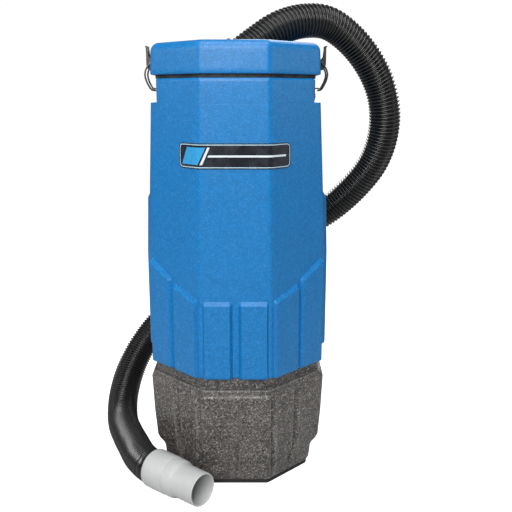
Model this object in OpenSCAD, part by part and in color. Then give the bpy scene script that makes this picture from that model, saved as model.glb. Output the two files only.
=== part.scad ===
// Backpack vacuum cleaner: eight-sided tank on a motor base, lift-off lid held by
// two wire draw latches, stretch hose with a wand cuff, and a padded harness.
// Millimetres, +Z up. Origin: centre of the foot on the floor. The front faces -Y.

/* [Overall] */
// Height from the floor to the top of the lid
total_h = 569; // [470:1:690]
// Half width of the tank at the seam with the base
body_hw = 115; // [104:1:138]
// Distance from the centre line to the front face
body_f = 109; // [102:1:125]
// Distance from the centre line to the rear face
body_b = 105; // [98:1:125]
// Height of the motor base, up to the seam
base_h = 155; // [150:1:180]
// Wall thickness of the moulded shells
wall = 4; // [3:0.5:4.5]

/* [Lid and seal] */
// Height of the lid
lid_h = 38.5; // [36:0.5:44]
// Thickness of the seal between lid and tank
seal_h = 4.5; // [3:0.5:5.5]
// Gap between the lid's spigot and the tank's mouth
spigot_gap = 1; // [0.5:0.1:2]
// Depth of the spigot below the lid
spigot_h = 14; // [10:1:18]

/* [Latches] */
// Radius of the lever's pivot pin
pin_r = 1.5; // [1.2:0.1:1.8]
// Radius of the bail wire
wire_r = 1.2; // [1:0.05:1.3]
// Running clearance on the latch pivots
pivot_gap = 0.05; // [0.02:0.01:0.1]

/* [Hose] */
// Outside diameter of the hose
hose_d = 45; // [40:0.5:46]
// Bore diameter of the wand cuff
cuff_bore_d = 38; // [32:0.5:40]
// Outside diameter of the wand cuff's collar
collar_d = 50.5; // [50:0.5:54]
// Length of the wand cuff
cuff_len = 87; // [80:1:110]
// Where the cuff's collar steps down to the tube
step_t = 54; // [40:1:65]

/* [Motor] */
// Radius of the fan housing
fan_r = 72; // [60:1:78]
// Radius of the motor frame
motor_r = 46; // [40:1:50]
// Radius of the motor shaft
shaft_r = 4; // [3:0.5:5]
// Running clearance of the shaft in its bearings
shaft_gap = 0.05; // [0.02:0.01:0.1]

/* [Harness] */
// Half width of the back plate
plate_hw = 72; // [60:1:80]
// Thickness of the back pad
pad_t = 18; // [12:1:20]
// Width of the shoulder straps
strap_w = 52; // [44:1:56]

/* [Hidden] */
$fn = 48;
blue = [0.07, 0.36, 0.73];
dark = [0.12, 0.12, 0.13];
granite = [0.2, 0.2, 0.21];
steel = [0.6, 0.6, 0.6];
t8 = tan(22.5);
foot_h = 6;
body_top = total_h - lid_h - seal_h;
lid_z = total_h - lid_h;
body_len = body_top - base_h;
dx = body_hw - 115;
dz = total_h - 569;
ff = 45;              // half width of the front and rear faces at the seam
back_y = body_b;
// section of the tank: front, rear, half width, half front face, half rear face, corner radius
low = [body_f, body_b, body_hw, ff, ff, 9];
mid = [body_f, body_b, body_hw, ff - 0.5, ff - 0.5, 9];
upp = [body_f, body_b, body_hw - 3, ff - 1.4, ff - 1.4, 9];
pok = [body_f, body_b, body_hw - 10.4, ff - 2.6, ff - 2.6, 9];
top = [body_f, body_b, body_hw - 11, ff - 3, ff - 3, 9];
mouth = inset(top, 9.5);
z_mid = base_h + 0.39 * body_len;
z_upp = base_h + 0.62 * body_len;
z_pok = body_top - 29;
lid_lo = [body_f, body_b, body_hw - 11, ff - 3, ff - 3, 10];
lid_hi = [body_f - 1, body_b - 1, body_hw - 12.5, ff - 3.4, ff - 3.4, 10];
// grooves of the base: where they lie along each face, counted from the first corner
base_grooves = [[0.09, 0.5], [0.5], [0.5], [], [0.5], [0.5], [0.5, 0.91], [0.5]];
// port: where the hose enters the lid and the way it leaves
port = [6, 20, total_h - 11];
port_dir = unit([0.78, 0.2, 0.59]);
hose_r = hose_d / 2;
cuff_a = [-108.4 - dx, -97.8, collar_d / 2 + 0.5];
cuff_dir = unit([72, -59, 0]);
cuff_ang = atan2(-59, 72);
latch_x = body_hw - 12.5;   // flat on the lid that carries the latch plate
notch_x = body_hw - 15.5;   // flat in the tank that carries the keeper

// ---- helpers ----
function unit(v) = v / norm(v);
function inset(o, t) = [o[0] - t, o[1] - t, o[2] - t, o[3] - t * t8, o[4] - t * t8, max(o[5] - t, 1.5)];
function corners(o) = [[o[3], -o[0]], [o[2], -(o[0] - o[2] + o[3])], [o[2], o[1] - o[2] + o[4]],
  [o[4], o[1]], [-o[4], o[1]], [-o[2], o[1] - o[2] + o[4]],
  [-o[2], -(o[0] - o[2] + o[3])], [-o[3], -o[0]]];
// eight-sided ring with rounded corners, counter-clockwise from above
function ring(o, z, n = 3) = let (c = corners(o), r = o[5])
  [for (k = [0:7]) let (b = -67.5 + 45 * k, m = c[k] - r / cos(22.5) * [cos(b), sin(b)])
    for (j = [0:n]) let (a = -90 + 45 * k + 45 * j / n) [m[0] + r * cos(a), m[1] + r * sin(a), z]];
// the same ring with vertical grooves of depth g
function gring(o, z, g) = let (c = corners(o), r = o[5], t = r * t8)
  [for (k = [0:7]) let (b = -67.5 + 45 * k, m = c[k] - r / cos(22.5) * [cos(b), sin(b)],
      u = [cos(45 + 45 * k), sin(45 + 45 * k)], w = [u[1], -u[0]],
      e0 = c[k] + u * t, e1 = c[(k + 1) % 8] - u * t, len = norm(e1 - e0),
      arc = [for (j = [0:3]) let (a = -90 + 45 * k + 15 * j) [m[0] + r * cos(a), m[1] + r * sin(a), z]],
      cuts = [for (s = base_grooves[k]) for (q = [[-4, 0], [-2, 1], [2, 1], [4, 0]])
        let (p = e0 + u * (s * len + q[0]) - w * g * q[1]) [p[0], p[1], z]])
    each concat(arc, cuts)];
module skin(rings, shut) {
  n = len(rings[0]);
  m = len(rings);
  last = shut ? m - 1 : m - 2;
  sides = [for (i = [0:last], j = [0:n - 1])
    let (a = i * n + j, b = i * n + (j + 1) % n, c = ((i + 1) % m) * n + (j + 1) % n, d = ((i + 1) % m) * n + j)
    each [[a, d, c], [a, c, b]]];
  caps = shut ? [] : [[for (j = [0:n - 1]) j], [for (j = [n - 1:-1:0]) (m - 1) * n + j]];
  polyhedron(points = [for (r = rings) each r], faces = concat(sides, caps));
}
module loft(rings) skin(rings, false);
module loop(rings) skin(rings, true);
module tube(r1, r2, z0, z1) translate([0, 0, z0]) difference() {
  cylinder(r = r1, h = z1 - z0);
  translate([0, 0, -1]) cylinder(r = r2, h = z1 - z0 + 2);
}
function rrect(x, y, r, n = 6) = [for (q = [[x - r, y - r, 0], [-x + r, y - r, 90], [-x + r, -y + r, 180], [x - r, -y + r, 270]])
  for (j = [0:n]) [q[0] + r * cos(q[2] + 90 * j / n), q[1] + r * sin(q[2] + 90 * j / n)]];
// rounded slab standing in the XZ plane, from y0 to y1
module slab(x, z, hx, hz, r, y0, y1) translate([x, y1, z]) rotate([90, 0, 0])
  linear_extrude(y1 - y0) polygon(rrect(hx, hz, r));
// soft rounded slab: the same with eased edges
module soft_slab(x, z, hx, hz, r, y0, y1, e) loft([for (q = [[y1, e], [y1 - e * 0.3, e * 0.3], [y1 - e, 0], [y0 + e, 0], [y0 + e * 0.3, e * 0.3], [y0, e]])
  [for (p = rrect(hx - q[1], hz - q[1], min(r, hz - e - 0.5, hx - e - 0.5))) [x + p[0], q[0], z + p[1]]]]);
module along(a, v, t0, t1, r) translate(a + v * t0)
  rotate([0, acos(v[2]), atan2(v[1], v[0])]) cylinder(r = r, h = t1 - t0);
// swept tube with frames carried along the path
function frames(p, i = 0, u = undef) = i >= len(p) ? [] :
  let (t = unit(p[min(i + 1, len(p) - 1)] - p[max(i - 1, 0)]),
       s = u == undef ? [0, 1, 0] : u, n = unit(s - t * (s * t)))
  concat([[p[i], n, cross(t, n)]], frames(p, i + 1, n));
function circ(f, r, n) = [for (j = [0:n - 1]) f[0] + r * (cos(360 * j / n) * f[1] + sin(360 * j / n) * f[2])];
function cr(a, b, c, d, t) = 0.5 * (2 * b + (c - a) * t + (2 * a - 5 * b + 4 * c - d) * t * t + (3 * b - 3 * c + d - a) * t * t * t);
function smooth(p, k) = concat([for (i = [0:len(p) - 2], j = [0:k - 1])
  cr(p[max(i - 1, 0)], p[i], p[i + 1], p[min(i + 2, len(p) - 1)], j / k)], [p[len(p) - 1]]);

// ---- motor base ----
function base_sec(w, f, b) = [body_f + f, body_b + b, body_hw + w, ff - 3, ff - 2, 9];
module base_shell() color(granite) difference() {
  loft([gring(inset(base_sec(-18, -13, 0), 2), foot_h, 0.1),
    gring(base_sec(-16, -12, 2), foot_h + 4, 1), gring(base_sec(-14, -7, 3), 0.2 * base_h, 3),
    gring(base_sec(-3, -2, 3), 0.27 * base_h, 3), gring(base_sec(0, 2, 3), 0.52 * base_h, 3),
    gring(base_sec(2, 4.6, 3), base_h - 28, 3), gring(base_sec(2.4, 5, 3), base_h - 25, 1),
    gring(base_sec(2.4, 5, 3), base_h - 22, 0), gring(base_sec(-0.6, 2, 1), base_h - 20.5, 0),
    gring(base_sec(-0.6, 2, 1), base_h - 15.5, 0), gring(base_sec(-5, -5, -3), base_h - 14.5, 0),
    gring(base_sec(-5, -5, -3), base_h, 0), gring(inset(base_sec(-5, -5, -3), wall), base_h, 0),
    gring(inset(base_sec(-5, -5, -3), wall), base_h - 5, 0),
    gring(inset(base_sec(-5, -5, -3), wall + 8), base_h - 5, 0),
    gring(inset(base_sec(-5, -5, -3), wall + 8), base_h - 9, 0),
    gring(inset(base_sec(-5, -5, -3), wall), base_h - 17, 0),
    gring(inset(base_sec(-6, -4, 3), wall + 2), base_h - 26, 0),
    gring(inset(base_sec(-7, -4, 3), wall + 3), 0.3 * base_h, 0),
    gring(inset(base_sec(-16, -12, 3), wall + 3), 0.18 * base_h, 0),
    gring(inset(base_sec(-18, -13, 0), wall + 2), foot_h + 4, 0.1)]);
  translate([-34.5, body_b - 15, 45.5]) cube([69, 30, 49]);
  translate([-31.2, body_b - 15, 107.8]) cube([18.4, 30, 16.4]);
  translate([22, body_b - 15, 116]) rotate([-90, 0, 0]) cylinder(r = 8.3, h = 30);
}
module base_foot() color(dark)
  loft([ring(inset(base_sec(-18, -14, -1), 3), 0), ring(inset(base_sec(-18, -14, -1), 1), 1.5),
    ring(inset(base_sec(-18, -14, -1), 1), foot_h)]);
module motor_plate() color(steel) difference() {
  loft([ring(inset(base_sec(-5, -5, -3), wall + 0.4), base_h - 5), ring(inset(base_sec(-5, -5, -3), wall + 0.4), base_h - 1)]);
  translate([0, 0, base_h - 10]) cylinder(r = 38, h = 20);
}
module floor_seal() color(dark) tube(74, 60, base_h - 1, base_h);
module motor_gasket() color(dark) tube(fan_r - 6, fan_r - 22, base_h - 8, base_h - 5);
module fan_housing() color(steel) difference() {
  translate([0, 0, base_h - 55]) cylinder(r = fan_r, h = 47);
  translate([0, 0, base_h - 53]) cylinder(r = fan_r - 2, h = 43);
  translate([0, 0, base_h - 12]) cylinder(r = 26, h = 10);
  translate([0, 0, base_h - 60]) cylinder(r = shaft_r + 3, h = 10);
  for (a = [30:60:330]) rotate([0, 0, a]) translate([fan_r - 12, 0, base_h - 60]) cylinder(r = 6, h = 10);
}
module motor_top_bracket() color(steel) difference() {
  translate([0, 0, base_h - 67]) cylinder(r = motor_r, h = 12);
  translate([0, 0, base_h - 68]) cylinder(r = 11, h = 9);
  translate([0, 0, base_h - 68]) cylinder(r = shaft_r + 3, h = 20);
}
module bearing_top() color(steel) tube(11, shaft_r + shaft_gap, base_h - 66, base_h - 59);
module motor_field() color([0.3, 0.3, 0.32]) tube(motor_r, 30, base_h - 103, base_h - 67);
module motor_end_bracket() color(steel) difference() {
  translate([0, 0, 30]) cylinder(r = motor_r, h = base_h - 133);
  translate([0, 0, 37]) cylinder(r = motor_r - 4, h = base_h);
  translate([0, 0, 28]) cylinder(r = 11, h = 20);
}
module bearing_bottom() color(steel) tube(11, shaft_r + shaft_gap, 30, 37);
module motor_cushion() color(dark) tube(motor_r, 32, foot_h + 4, 30);
module carbon_brushes() color([0.2, 0.2, 0.2]) for (s = [0, 180]) rotate([0, 0, s])
  translate([12.3, -4, 39]) cube([motor_r - 4 - 12.3 - 0.4, 8, 8]);
module motor_rotor() color([0.7, 0.45, 0.2]) {
  translate([0, 0, 28]) cylinder(r = shaft_r, h = base_h - 45);
  translate([0, 0, 38]) cylinder(r = 12, h = 11);
  translate([0, 0, base_h - 101]) cylinder(r = 29, h = 32);
  for (z = [base_h - 47, base_h - 29]) {
    translate([0, 0, z]) cylinder(r = fan_r - 6, h = 2);
    translate([0, 0, z]) cylinder(r = 14, h = 8);
    for (a = [0:60:300]) rotate([0, 0, a]) translate([12, -1, z + 1]) cube([fan_r - 20, 2, 8]);
  }
}
module exhaust_filter() color([0.25, 0.25, 0.27]) tube(79, 64, foot_h + 4, base_h - 60);
module exhaust_grille() color(dark) difference() {
  union() {
    slab(0, 70, 40, 29, 4, body_b + 3, body_b + 5.5);
    translate([-34, body_b - 4, 46]) cube([68, 7.5, 48]);
  }
  for (i = [0:5]) translate([-30, body_b - 10, 50 + 7.2 * i]) cube([60, 30, 4]);
}
module grille_screws() color(steel) for (x = [-37, 37], z = [45, 95]) translate([x, body_b + 5.5, z])
  rotate([-90, 0, 0]) difference() {
    cylinder(r = 2.4, h = 1.6);
    translate([0, 0, 1]) cylinder(r = 1.2, h = 2, $fn = 6);
  }
module switch_bezel() color(dark) difference() {
  union() {
    slab(-22, 116, 13, 12, 2, body_b + 3, body_b + 5.5);
    translate([-31, body_b - 8, 108]) cube([18, 11.5, 16]);
  }
  translate([-29.5, body_b - 6, 109.5]) cube([15, 20, 13]);
}
rock_y = body_b - 1;
module switch_rocker() color([0.75, 0.1, 0.08]) { rocker_body(); rocker_pins(); }
module rocker_body() translate([-22, rock_y, 116]) rotate([-7, 0, 0])
  translate([-7, 0, 0]) rotate([90, 0, 90]) linear_extrude(14)
    polygon([[-2, -3.5], [3, -5], [7.6, -5], [6.2, 0], [7.6, 5], [3, 5], [-2, 3.5]]);
module rocker_pins() translate([-29.4, rock_y, 116]) rotate([0, 90, 0]) cylinder(r = 1.5, h = 14.8);
module cord_gland() color(dark) translate([22, body_b, 116]) rotate([-90, 0, 0]) difference() {
  union() {
    translate([0, 0, -8]) cylinder(r = 8, h = 12);
    translate([0, 0, 3]) cylinder(r = 11, h = 4);
    translate([0, 0, 7]) cylinder(r1 = 9, r2 = 6.5, h = 12);
  }
  translate([0, 0, -9]) cylinder(r = 4.2, h = 30);
}

// ---- tank ----
module chamfer_panel(s0, s1, z0, z1) translate([ff, -body_f, 0]) rotate([0, 0, 45])
  translate([0, 2.2, 0]) rotate([90, 0, 0]) linear_extrude(5.2)
    polygon([[s0, base_h + 1], [s1, base_h + 1], [s1, z1 - 3], [s1 - 3, z1], [s0 + 3, z0], [s0, z0 - 3]]);
cham = (body_hw - ff) * sqrt(2);
zp = base_h + 0.272 * body_len;
module wing() {
  x = body_hw;
  wy = [-8, 34];
  loft([for (q = [[base_h + 10, 1, 4, 1], [base_h + 14, 6, 0, 1], [z_upp - 10, 7, 0, 4], [z_upp + 2, 1, 10, 6]])
    [[x - 1 - q[3], wy[0] - 8 + q[2], q[0]], [x + q[1] - 1, wy[0] - 7 + q[2], q[0]], [x + q[1], wy[0] + 2 + q[2], q[0]],
     [x + q[1], wy[1] - 2 - q[2], q[0]], [x + q[1] - 1, wy[1] + 2 - q[2], q[0]], [x - 1 - q[3], wy[1] + 3 - q[2], q[0]]]]);
}
module body_shell() color(blue) difference() {
  union() {
    loft([ring(inset(low, 2.5), base_h), ring(inset(low, 0.6), base_h + 1), ring(low, base_h + 3.5), ring(mid, z_mid), ring(upp, z_upp),
      ring(pok, z_pok), ring(top, body_top - 2.5), ring(inset(top, 2), body_top),
      ring(mouth, body_top), ring(mouth, body_top - 26), ring(inset(mouth, 5), body_top - 26),
      ring(inset(mouth, 5), body_top - 36), ring(inset(upp, wall + 3), body_top - 60), ring(inset(upp, wall), z_upp),
      ring(inset(mid, wall), z_mid), ring(inset(low, wall), base_h + wall + 3), ring(inset(low, wall + 3), base_h + wall)]);
    for (s = [0, 1]) mirror([s, 0, 0]) {
      translate([4.5, -body_f - 3, base_h + 1]) cube([36.5, 5, zp - base_h - 1]);
      chamfer_panel(0.02 * cham, 0.485 * cham, zp, zp + 15);
      chamfer_panel(0.545 * cham, 0.99 * cham, zp + 21, zp + 44);
      wing();
    }
  }
  translate([0, 0, base_h - 5]) cylinder(r = 44, h = 20);
  for (s = [0, 1]) mirror([s, 0, 0])
    translate([notch_x, -70, body_top - 29]) cube([40, 140, 40]);
}
module dome_filter() color([0.85, 0.85, 0.82]) translate([0, 0, base_h + wall]) rotate_extrude()
  polygon([[46, 0], [62, 0], [62, 4], [52, 4], [50, 28], [42, 40], [22, 46], [1, 47], [1, 44], [21, 43], [40, 37], [46.5, 27]]);
bag_o = inset(mouth, 8);
module filter_bag() color([0.9, 0.88, 0.8])
  loft([ring(inset(bag_o, 8), base_h + 62), ring(bag_o, base_h + 72), ring(bag_o, body_top - 26),
    ring(inset(bag_o, 1.5), body_top - 26), ring(inset(bag_o, 1.5), base_h + 73), ring(inset(bag_o, 9), base_h + 63.5)]);
module bag_rim() color(dark) loop([ring(inset(mouth, 0.5), body_top - 26), ring(inset(mouth, 0.5), body_top - 22),
  ring(inset(mouth, 9.5), body_top - 22), ring(inset(mouth, 9.5), body_top - 26)]);
lab_z = [base_h + 0.712 * body_len, base_h + 0.8 * body_len];
function at(z) = let (t = (z - z_upp) / (z_pok - z_upp)) upp * (1 - t) + pok * t;
function wrap(z, g) = let (o = inset(at(z), -g), p = ring(o, z)) concat([
    [-67, -(o[0] - (67 - o[3])), z]], [for (i = [28:31]) p[i]], [for (i = [0:3]) p[i]], [[67, -(o[0] - (67 - o[3])), z]]);
module front_label() color(dark) {
  a = wrap(lab_z[0], 0.8); b = wrap(lab_z[1], 0.8); c = wrap(lab_z[1], 0); d = wrap(lab_z[0], 0);
  n = len(a);
  polyhedron(points = concat(a, b, c, d), faces = concat(
    [for (k = [0:3], j = [0:n - 2]) each [[k * n + j, ((k + 1) % 4) * n + j, ((k + 1) % 4) * n + j + 1], [k * n + j, ((k + 1) % 4) * n + j + 1, k * n + j + 1]]],
    [[0, 3 * n, 2 * n, n], [n - 1, 2 * n - 1, 3 * n - 1, 4 * n - 1]]));
}
// ---- latches: drawn on the right, mirrored to the left ----
module keeper() translate([notch_x, 0, body_top - 526 + 0]) difference() {
  union() {
    translate([0, -13, 499]) cube([2, 26, 26]);
    translate([1, -10, 513.7]) cube([6.5, 20, 1.5]);
  }
  for (y = [-8, 8]) translate([-1, y, 505]) rotate([0, 90, 0]) cylinder(r = 1.6, h = 5);
}
module rivet_set() for (y = [-8, 8]) translate([notch_x, y, body_top - 21]) rotate([0, 90, 0]) union() {
  cylinder(r = 1.6, h = 2.2);
  translate([0, 0, 2]) cylinder(r = 2.8, h = 1);
}
px = body_hw - 4.5;      // lever pivot
pz = lid_z + 10.5;
bx = px - 1.5;           // bail pivot
bz = pz + 6;
module latch_plate() {
  difference() {
    union() {
      translate([latch_x, -14, lid_z + 3]) cube([2, 28, 29]);
      for (y = [-9, 7]) {
        translate([latch_x + 1, y, pz - 3]) cube([px - latch_x - 1, 2, 6]);
        translate([px, y, pz]) rotate([-90, 0, 0]) cylinder(r = 3, h = 2);
      }
    }
    for (z = [lid_z + 22, lid_z + 28]) translate([latch_x - 1, 0, z]) rotate([0, 90, 0]) cylinder(r = 1.6, h = 5);
  }
  translate([px, -11.2, pz]) rotate([-90, 0, 0]) cylinder(r = pin_r, h = 22.4);
}
module lever() difference() {
  union() {
    translate([px + 3, -11, pz + 2]) cube([1.6, 22, 24]);
    for (y = [-11, 9.4]) {
      translate([px, y, pz]) rotate([-90, 0, 0]) cylinder(r = 3.6, h = 1.6);
      translate([bx, y, bz]) rotate([-90, 0, 0]) cylinder(r = 2.6, h = 1.6);
      translate([bx - 1.4, y, bz]) rotate([-90, 0, 0]) linear_extrude(1.6)
        polygon([[0, 0], [0, -2.4], [2.5, -4.4], [6, -9], [7, -9], [7, 3], [5.5, 6], [-0.4, 4.4]]);
    }
    for (y = [-11, 9.4]) translate([px, y, pz]) rotate([-90, 0, 0]) linear_extrude(1.6)
      polygon([[0.4, -2], [4.6, -2], [4.6, -26], [3.4, -26]]);
    translate([px + 3, -11, pz + 24.6]) cube([2.6, 22, 1.4]);
  }
  translate([px, -20, pz]) rotate([-90, 0, 0]) cylinder(r = pin_r + pivot_gap, h = 40);
  translate([bx, -20, bz]) rotate([-90, 0, 0]) cylinder(r = wire_r + pivot_gap, h = 40);
}
hz = body_top - 14;
hx = body_hw - 8;
module bail() {
  leg = [[bx, 12.6, bz - 0.2], [px + 4, 12.6, bz - 7], [px + 6.6, 12.6, bz - 15], [px + 4.6, 12.6, bz - 24], [hx + 3.5, 12.4, hz + 2.4],
    [hx + 0.8, 11.8, hz + 0.2], [hx, 10.6, hz]];
  back = [for (i = [len(leg) - 1:-1:0]) [leg[i][0], -leg[i][1], leg[i][2]]];
  f = frames(smooth(concat(leg, back), 2));
  loft([for (q = f) circ(q, wire_r - 0.05, 10)]);
  for (s = [0, 1]) mirror([0, s, 0]) translate([bx, 9.3, bz]) rotate([-90, 0, 0]) cylinder(r = wire_r, h = 4);
}
module keeper_right() color(steel) keeper();
module keeper_left() color(steel) mirror([1, 0, 0]) keeper();
module keeper_rivets() color(steel) { rivet_set(); mirror([1, 0, 0]) rivet_set(); }
module latch_plate_right() color(steel) latch_plate();
module latch_plate_left() color(steel) mirror([1, 0, 0]) latch_plate();
module lever_right() color(steel) lever();
module lever_left() color(steel) mirror([1, 0, 0]) lever();
module bail_right() color(steel) bail();
module bail_left() color(steel) mirror([1, 0, 0]) bail();

// ---- lid ----
module lid_shell() color(blue) difference() {
  union() {
    loft([ring(inset(lid_hi, wall + 2), total_h - wall), ring(inset(lid_lo, wall), total_h - 12), ring(inset(lid_lo, wall), lid_z + 4),
      ring(inset(mouth, spigot_gap + 4), lid_z + 4), ring(inset(mouth, spigot_gap + 4), lid_z - spigot_h),
      ring(inset(mouth, spigot_gap), lid_z - spigot_h), ring(inset(mouth, spigot_gap), lid_z),
      ring(inset(lid_lo, 1.2), lid_z), ring(lid_lo, lid_z + 1.5),
      ring(lid_hi, total_h - 11), ring(inset(lid_hi, 0.9), total_h - 6.8), ring(inset(lid_hi, 3.2), total_h - 3.2),
      ring(inset(lid_hi, 6.6), total_h - 0.9), ring(inset(lid_hi, 11), total_h)]);
    intersection() {
      along(port, port_dir, -27, 74, 31);
      translate([-90, -80, lid_z + 1]) cube([180, 160, lid_h - 2]);
    }
  }
  along(port, port_dir, -22, 90, 27);
  translate([-4, 17, lid_z - 20]) cylinder(r = 17, h = 30);
  for (s = [0, 1]) mirror([s, 0, 0]) translate([latch_x, -14.5, lid_z + 2.5]) cube([20, 29, 30]);
}
module lid_seal() color(dark) loop([ring(inset(top, 4.6), body_top), ring(inset(top, 4.6), lid_z),
  ring(inset(mouth, -0.2), lid_z), ring(inset(mouth, -0.2), body_top)]);
module hose_collar() color(dark) difference() {
  along(port, port_dir, -22, -2, 26.9);
  along(port, port_dir, -19, 10, hose_r + 0.35);
  along(port, port_dir, -30, 10, 18);
}
// ---- hose: solid-walled tube carried along hand-set points ----
function rx(p) = [p[0] + dx * sign(p[0]) * max(0, min(1, (abs(p[0]) - 60) / 55)), p[1],
  p[2] > 558 ? p[2] + dz : 24 + (p[2] - 24) * (534 + dz) / 534];
route = concat([port - 18 * port_dir, port, port + 20 * port_dir],
  [for (p = [[55, 34, 592], [91, 49, 603], [128, 64, 600], [168, 80, 571], [199, 94, 528], [213, 104, 480],
    [210, 118, 430], [190, 135, 385], [142, 155, 332], [70, 167, 285], [0, 171, 238], [-70, 168, 190],
    [-126, 157, 148], [-158, 142, 110], [-176, 118, 75], [-182, 90, 49], [-180, 61, 33], [-173, 31, 26],
    [-161, -1, 24.5], [-147, -34, 24.5], [-133, -66, 25]]) rx(p)],
  [cuff_a - 12 * cuff_dir, cuff_a, cuff_a + 14 * cuff_dir]);
path = smooth(route, 3);
module hose() color([0.05, 0.05, 0.05]) {
  f = frames(path);
  n = len(f);
  loop(concat([for (i = [0:n - 1]) circ(f[i], hose_r, 12)], [for (i = [n - 1:-1:0]) circ(f[i], hose_r - 3.5, 12)]));
}
module hose_insert() color(dark) translate(cuff_a) rotate([0, 90, cuff_ang]) difference() {
  cylinder(r = hose_r + 1.6, h = 16);
  translate([0, 0, -1]) cylinder(r = hose_r + 0.3, h = 16);
  translate([0, 0, -1]) cylinder(r = cuff_bore_d / 2, h = 30);
}
module wand_cuff() color([0.62, 0.64, 0.66]) translate(cuff_a) rotate([0, 90, cuff_ang]) difference() {
  union() {
    translate([0, 0, 1]) cylinder(r1 = collar_d / 2 - 1, r2 = collar_d / 2, h = 1);
    translate([0, 0, 2]) cylinder(r = collar_d / 2, h = step_t - 8);
    translate([0, 0, step_t - 6]) cylinder(r1 = collar_d / 2, r2 = cuff_bore_d / 2 + 2.2, h = 6);
    translate([0, 0, step_t]) cylinder(r = cuff_bore_d / 2 + 2.2, h = cuff_len - step_t);
  }
  translate([0, 0, -1]) cylinder(r = hose_r + 1.65, h = 18);
  cylinder(r = cuff_bore_d / 2, h = 200);
}

// ---- harness ----
pl_z = [base_h + 4, body_top - 56];
pl_c = (pl_z[0] + pl_z[1]) / 2;
pl_h = (pl_z[1] - pl_z[0]) / 2;
yb = body_b + 5;
yp = yb + pad_t;
module back_plate() color(dark) difference() {
  slab(0, pl_c, plate_hw, pl_h, 18, body_b, yb);
  for (s = [-1, 1]) translate([s * 45 - 20, body_b - 1, pl_z[1] - 14]) cube([40, 10, 5]);
}
pad_z = [pl_z[0] + 52, pl_z[1] - 20];
module back_pad() color([0.1, 0.1, 0.11])
  soft_slab(0, (pad_z[0] + pad_z[1]) / 2, plate_hw + 10, (pad_z[1] - pad_z[0]) / 2, 24, yb, yp, 6);
sx = 46;
st_z = [pad_z[0] + 62, pad_z[1] - 6];
module strap() soft_slab(sx, (st_z[0] + st_z[1]) / 2, strap_w / 2, (st_z[1] - st_z[0]) / 2, 16, yp, yp + 11, 4);
module strap_right() color([0.1, 0.1, 0.11]) strap();
module strap_left() color([0.1, 0.1, 0.11]) mirror([1, 0, 0]) strap();
module web(x0, x1, y0, y1, z0, z1) translate([x0, y0, z0]) cube([x1 - x0, y1 - y0, z1 - z0]);
module strap_webbing() color([0.16, 0.16, 0.17]) for (s = [0, 1]) mirror([s, 0, 0]) {
  // top anchor: over the pad's top edge and down the front of the back plate
  web(sx - 19, sx + 19, yb, yb + 2, pad_z[1] + 0.4, pl_z[1] - 2);
  web(sx - 19, sx + 19, yb + 2, yp + 6, pad_z[1] + 0.4, pad_z[1] + 2.4);
  web(sx - 19, sx + 19, yp + 4, yp + 6, st_z[1] + 0.2, pad_z[1] + 0.4);
  // lower tail: from the ladder lock down to the plate
  web(sx - 12, sx + 12, yp + 1, yp + 2.6, pad_z[0] - 6, st_z[0] - 29.7);
  web(sx - 12, sx + 12, yb, yp + 2.6, pad_z[0] - 7.6, pad_z[0] - 6);
  // short piece from the strap to the ladder lock
  web(sx - 12, sx + 12, yp + 3, yp + 4.6, st_z[0] - 7.3, st_z[0] - 0.2);
}
module ladder_locks() color(dark) for (s = [-1, 1]) translate([s * sx, 0, st_z[0] - 18.5]) difference() {
  slab(0, 0, 17, 11, 3, yp + 0.8, yp + 6);
  for (z = [-7.5, 1.5]) translate([-12.5, yp, z - 1]) cube([25, 8, 8]);
}
bl_z = pl_z[0] + 22;
module belt_pad() color([0.1, 0.1, 0.11]) soft_slab(0, bl_z, 102, 21, 16, yb, yb + 13, 4);
module belt_web_left() color([0.16, 0.16, 0.17]) web(-96, -21, yb + 13, yb + 15, bl_z - 12, bl_z + 12);
module belt_web_right() color([0.16, 0.16, 0.17]) web(44, 96, yb + 13.2, yb + 15.2, bl_z - 12, bl_z + 12);
module buckle_socket() color(dark) difference() {
  slab(-2, bl_z, 19, 16, 4, yb + 13, yb + 22);
  translate([-13, yb + 15.5, bl_z - 11]) cube([40, 4.5, 22]);
}
module buckle_plug() color(dark) {
  slab(32, bl_z, 12, 16, 4, yb + 13.2, yb + 21);
  translate([2, yb + 16, bl_z - 3]) cube([22, 3.4, 6]);
  for (s = [-1, 1]) translate([0, yb + 16, bl_z + s * 8 - 1.6]) cube([24, 3.4, 3.2]);
}

base_shell();
base_foot();
motor_plate();
motor_gasket();
floor_seal();
fan_housing();
motor_top_bracket();
motor_field();
motor_end_bracket();
motor_cushion();
bearing_top();
bearing_bottom();
carbon_brushes();
motor_rotor();
exhaust_filter();
exhaust_grille();
grille_screws();
switch_bezel();
switch_rocker();
cord_gland();
body_shell();
dome_filter();
filter_bag();
bag_rim();
front_label();
keeper_right();
keeper_left();
keeper_rivets();
lid_shell();
lid_seal();
latch_plate_right();
latch_plate_left();
lever_right();
lever_left();
bail_right();
bail_left();
hose_collar();
hose();
hose_insert();
wand_cuff();
back_plate();
back_pad();
strap_right();
strap_left();
strap_webbing();
ladder_locks();
belt_pad();
belt_web_left();
belt_web_right();
buckle_socket();
buckle_plug();
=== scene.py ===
"""Backpack vacuum cleaner: the looks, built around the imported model.

Metres, +Z up, the front faces -Y. Lay-out: sizes and colours in property groups, one operator
for each piece or group of like pieces, one panel, and main() which runs them in order.
"""
import math

import bmesh
import bpy
import numpy as np
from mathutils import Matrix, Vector, noise


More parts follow.
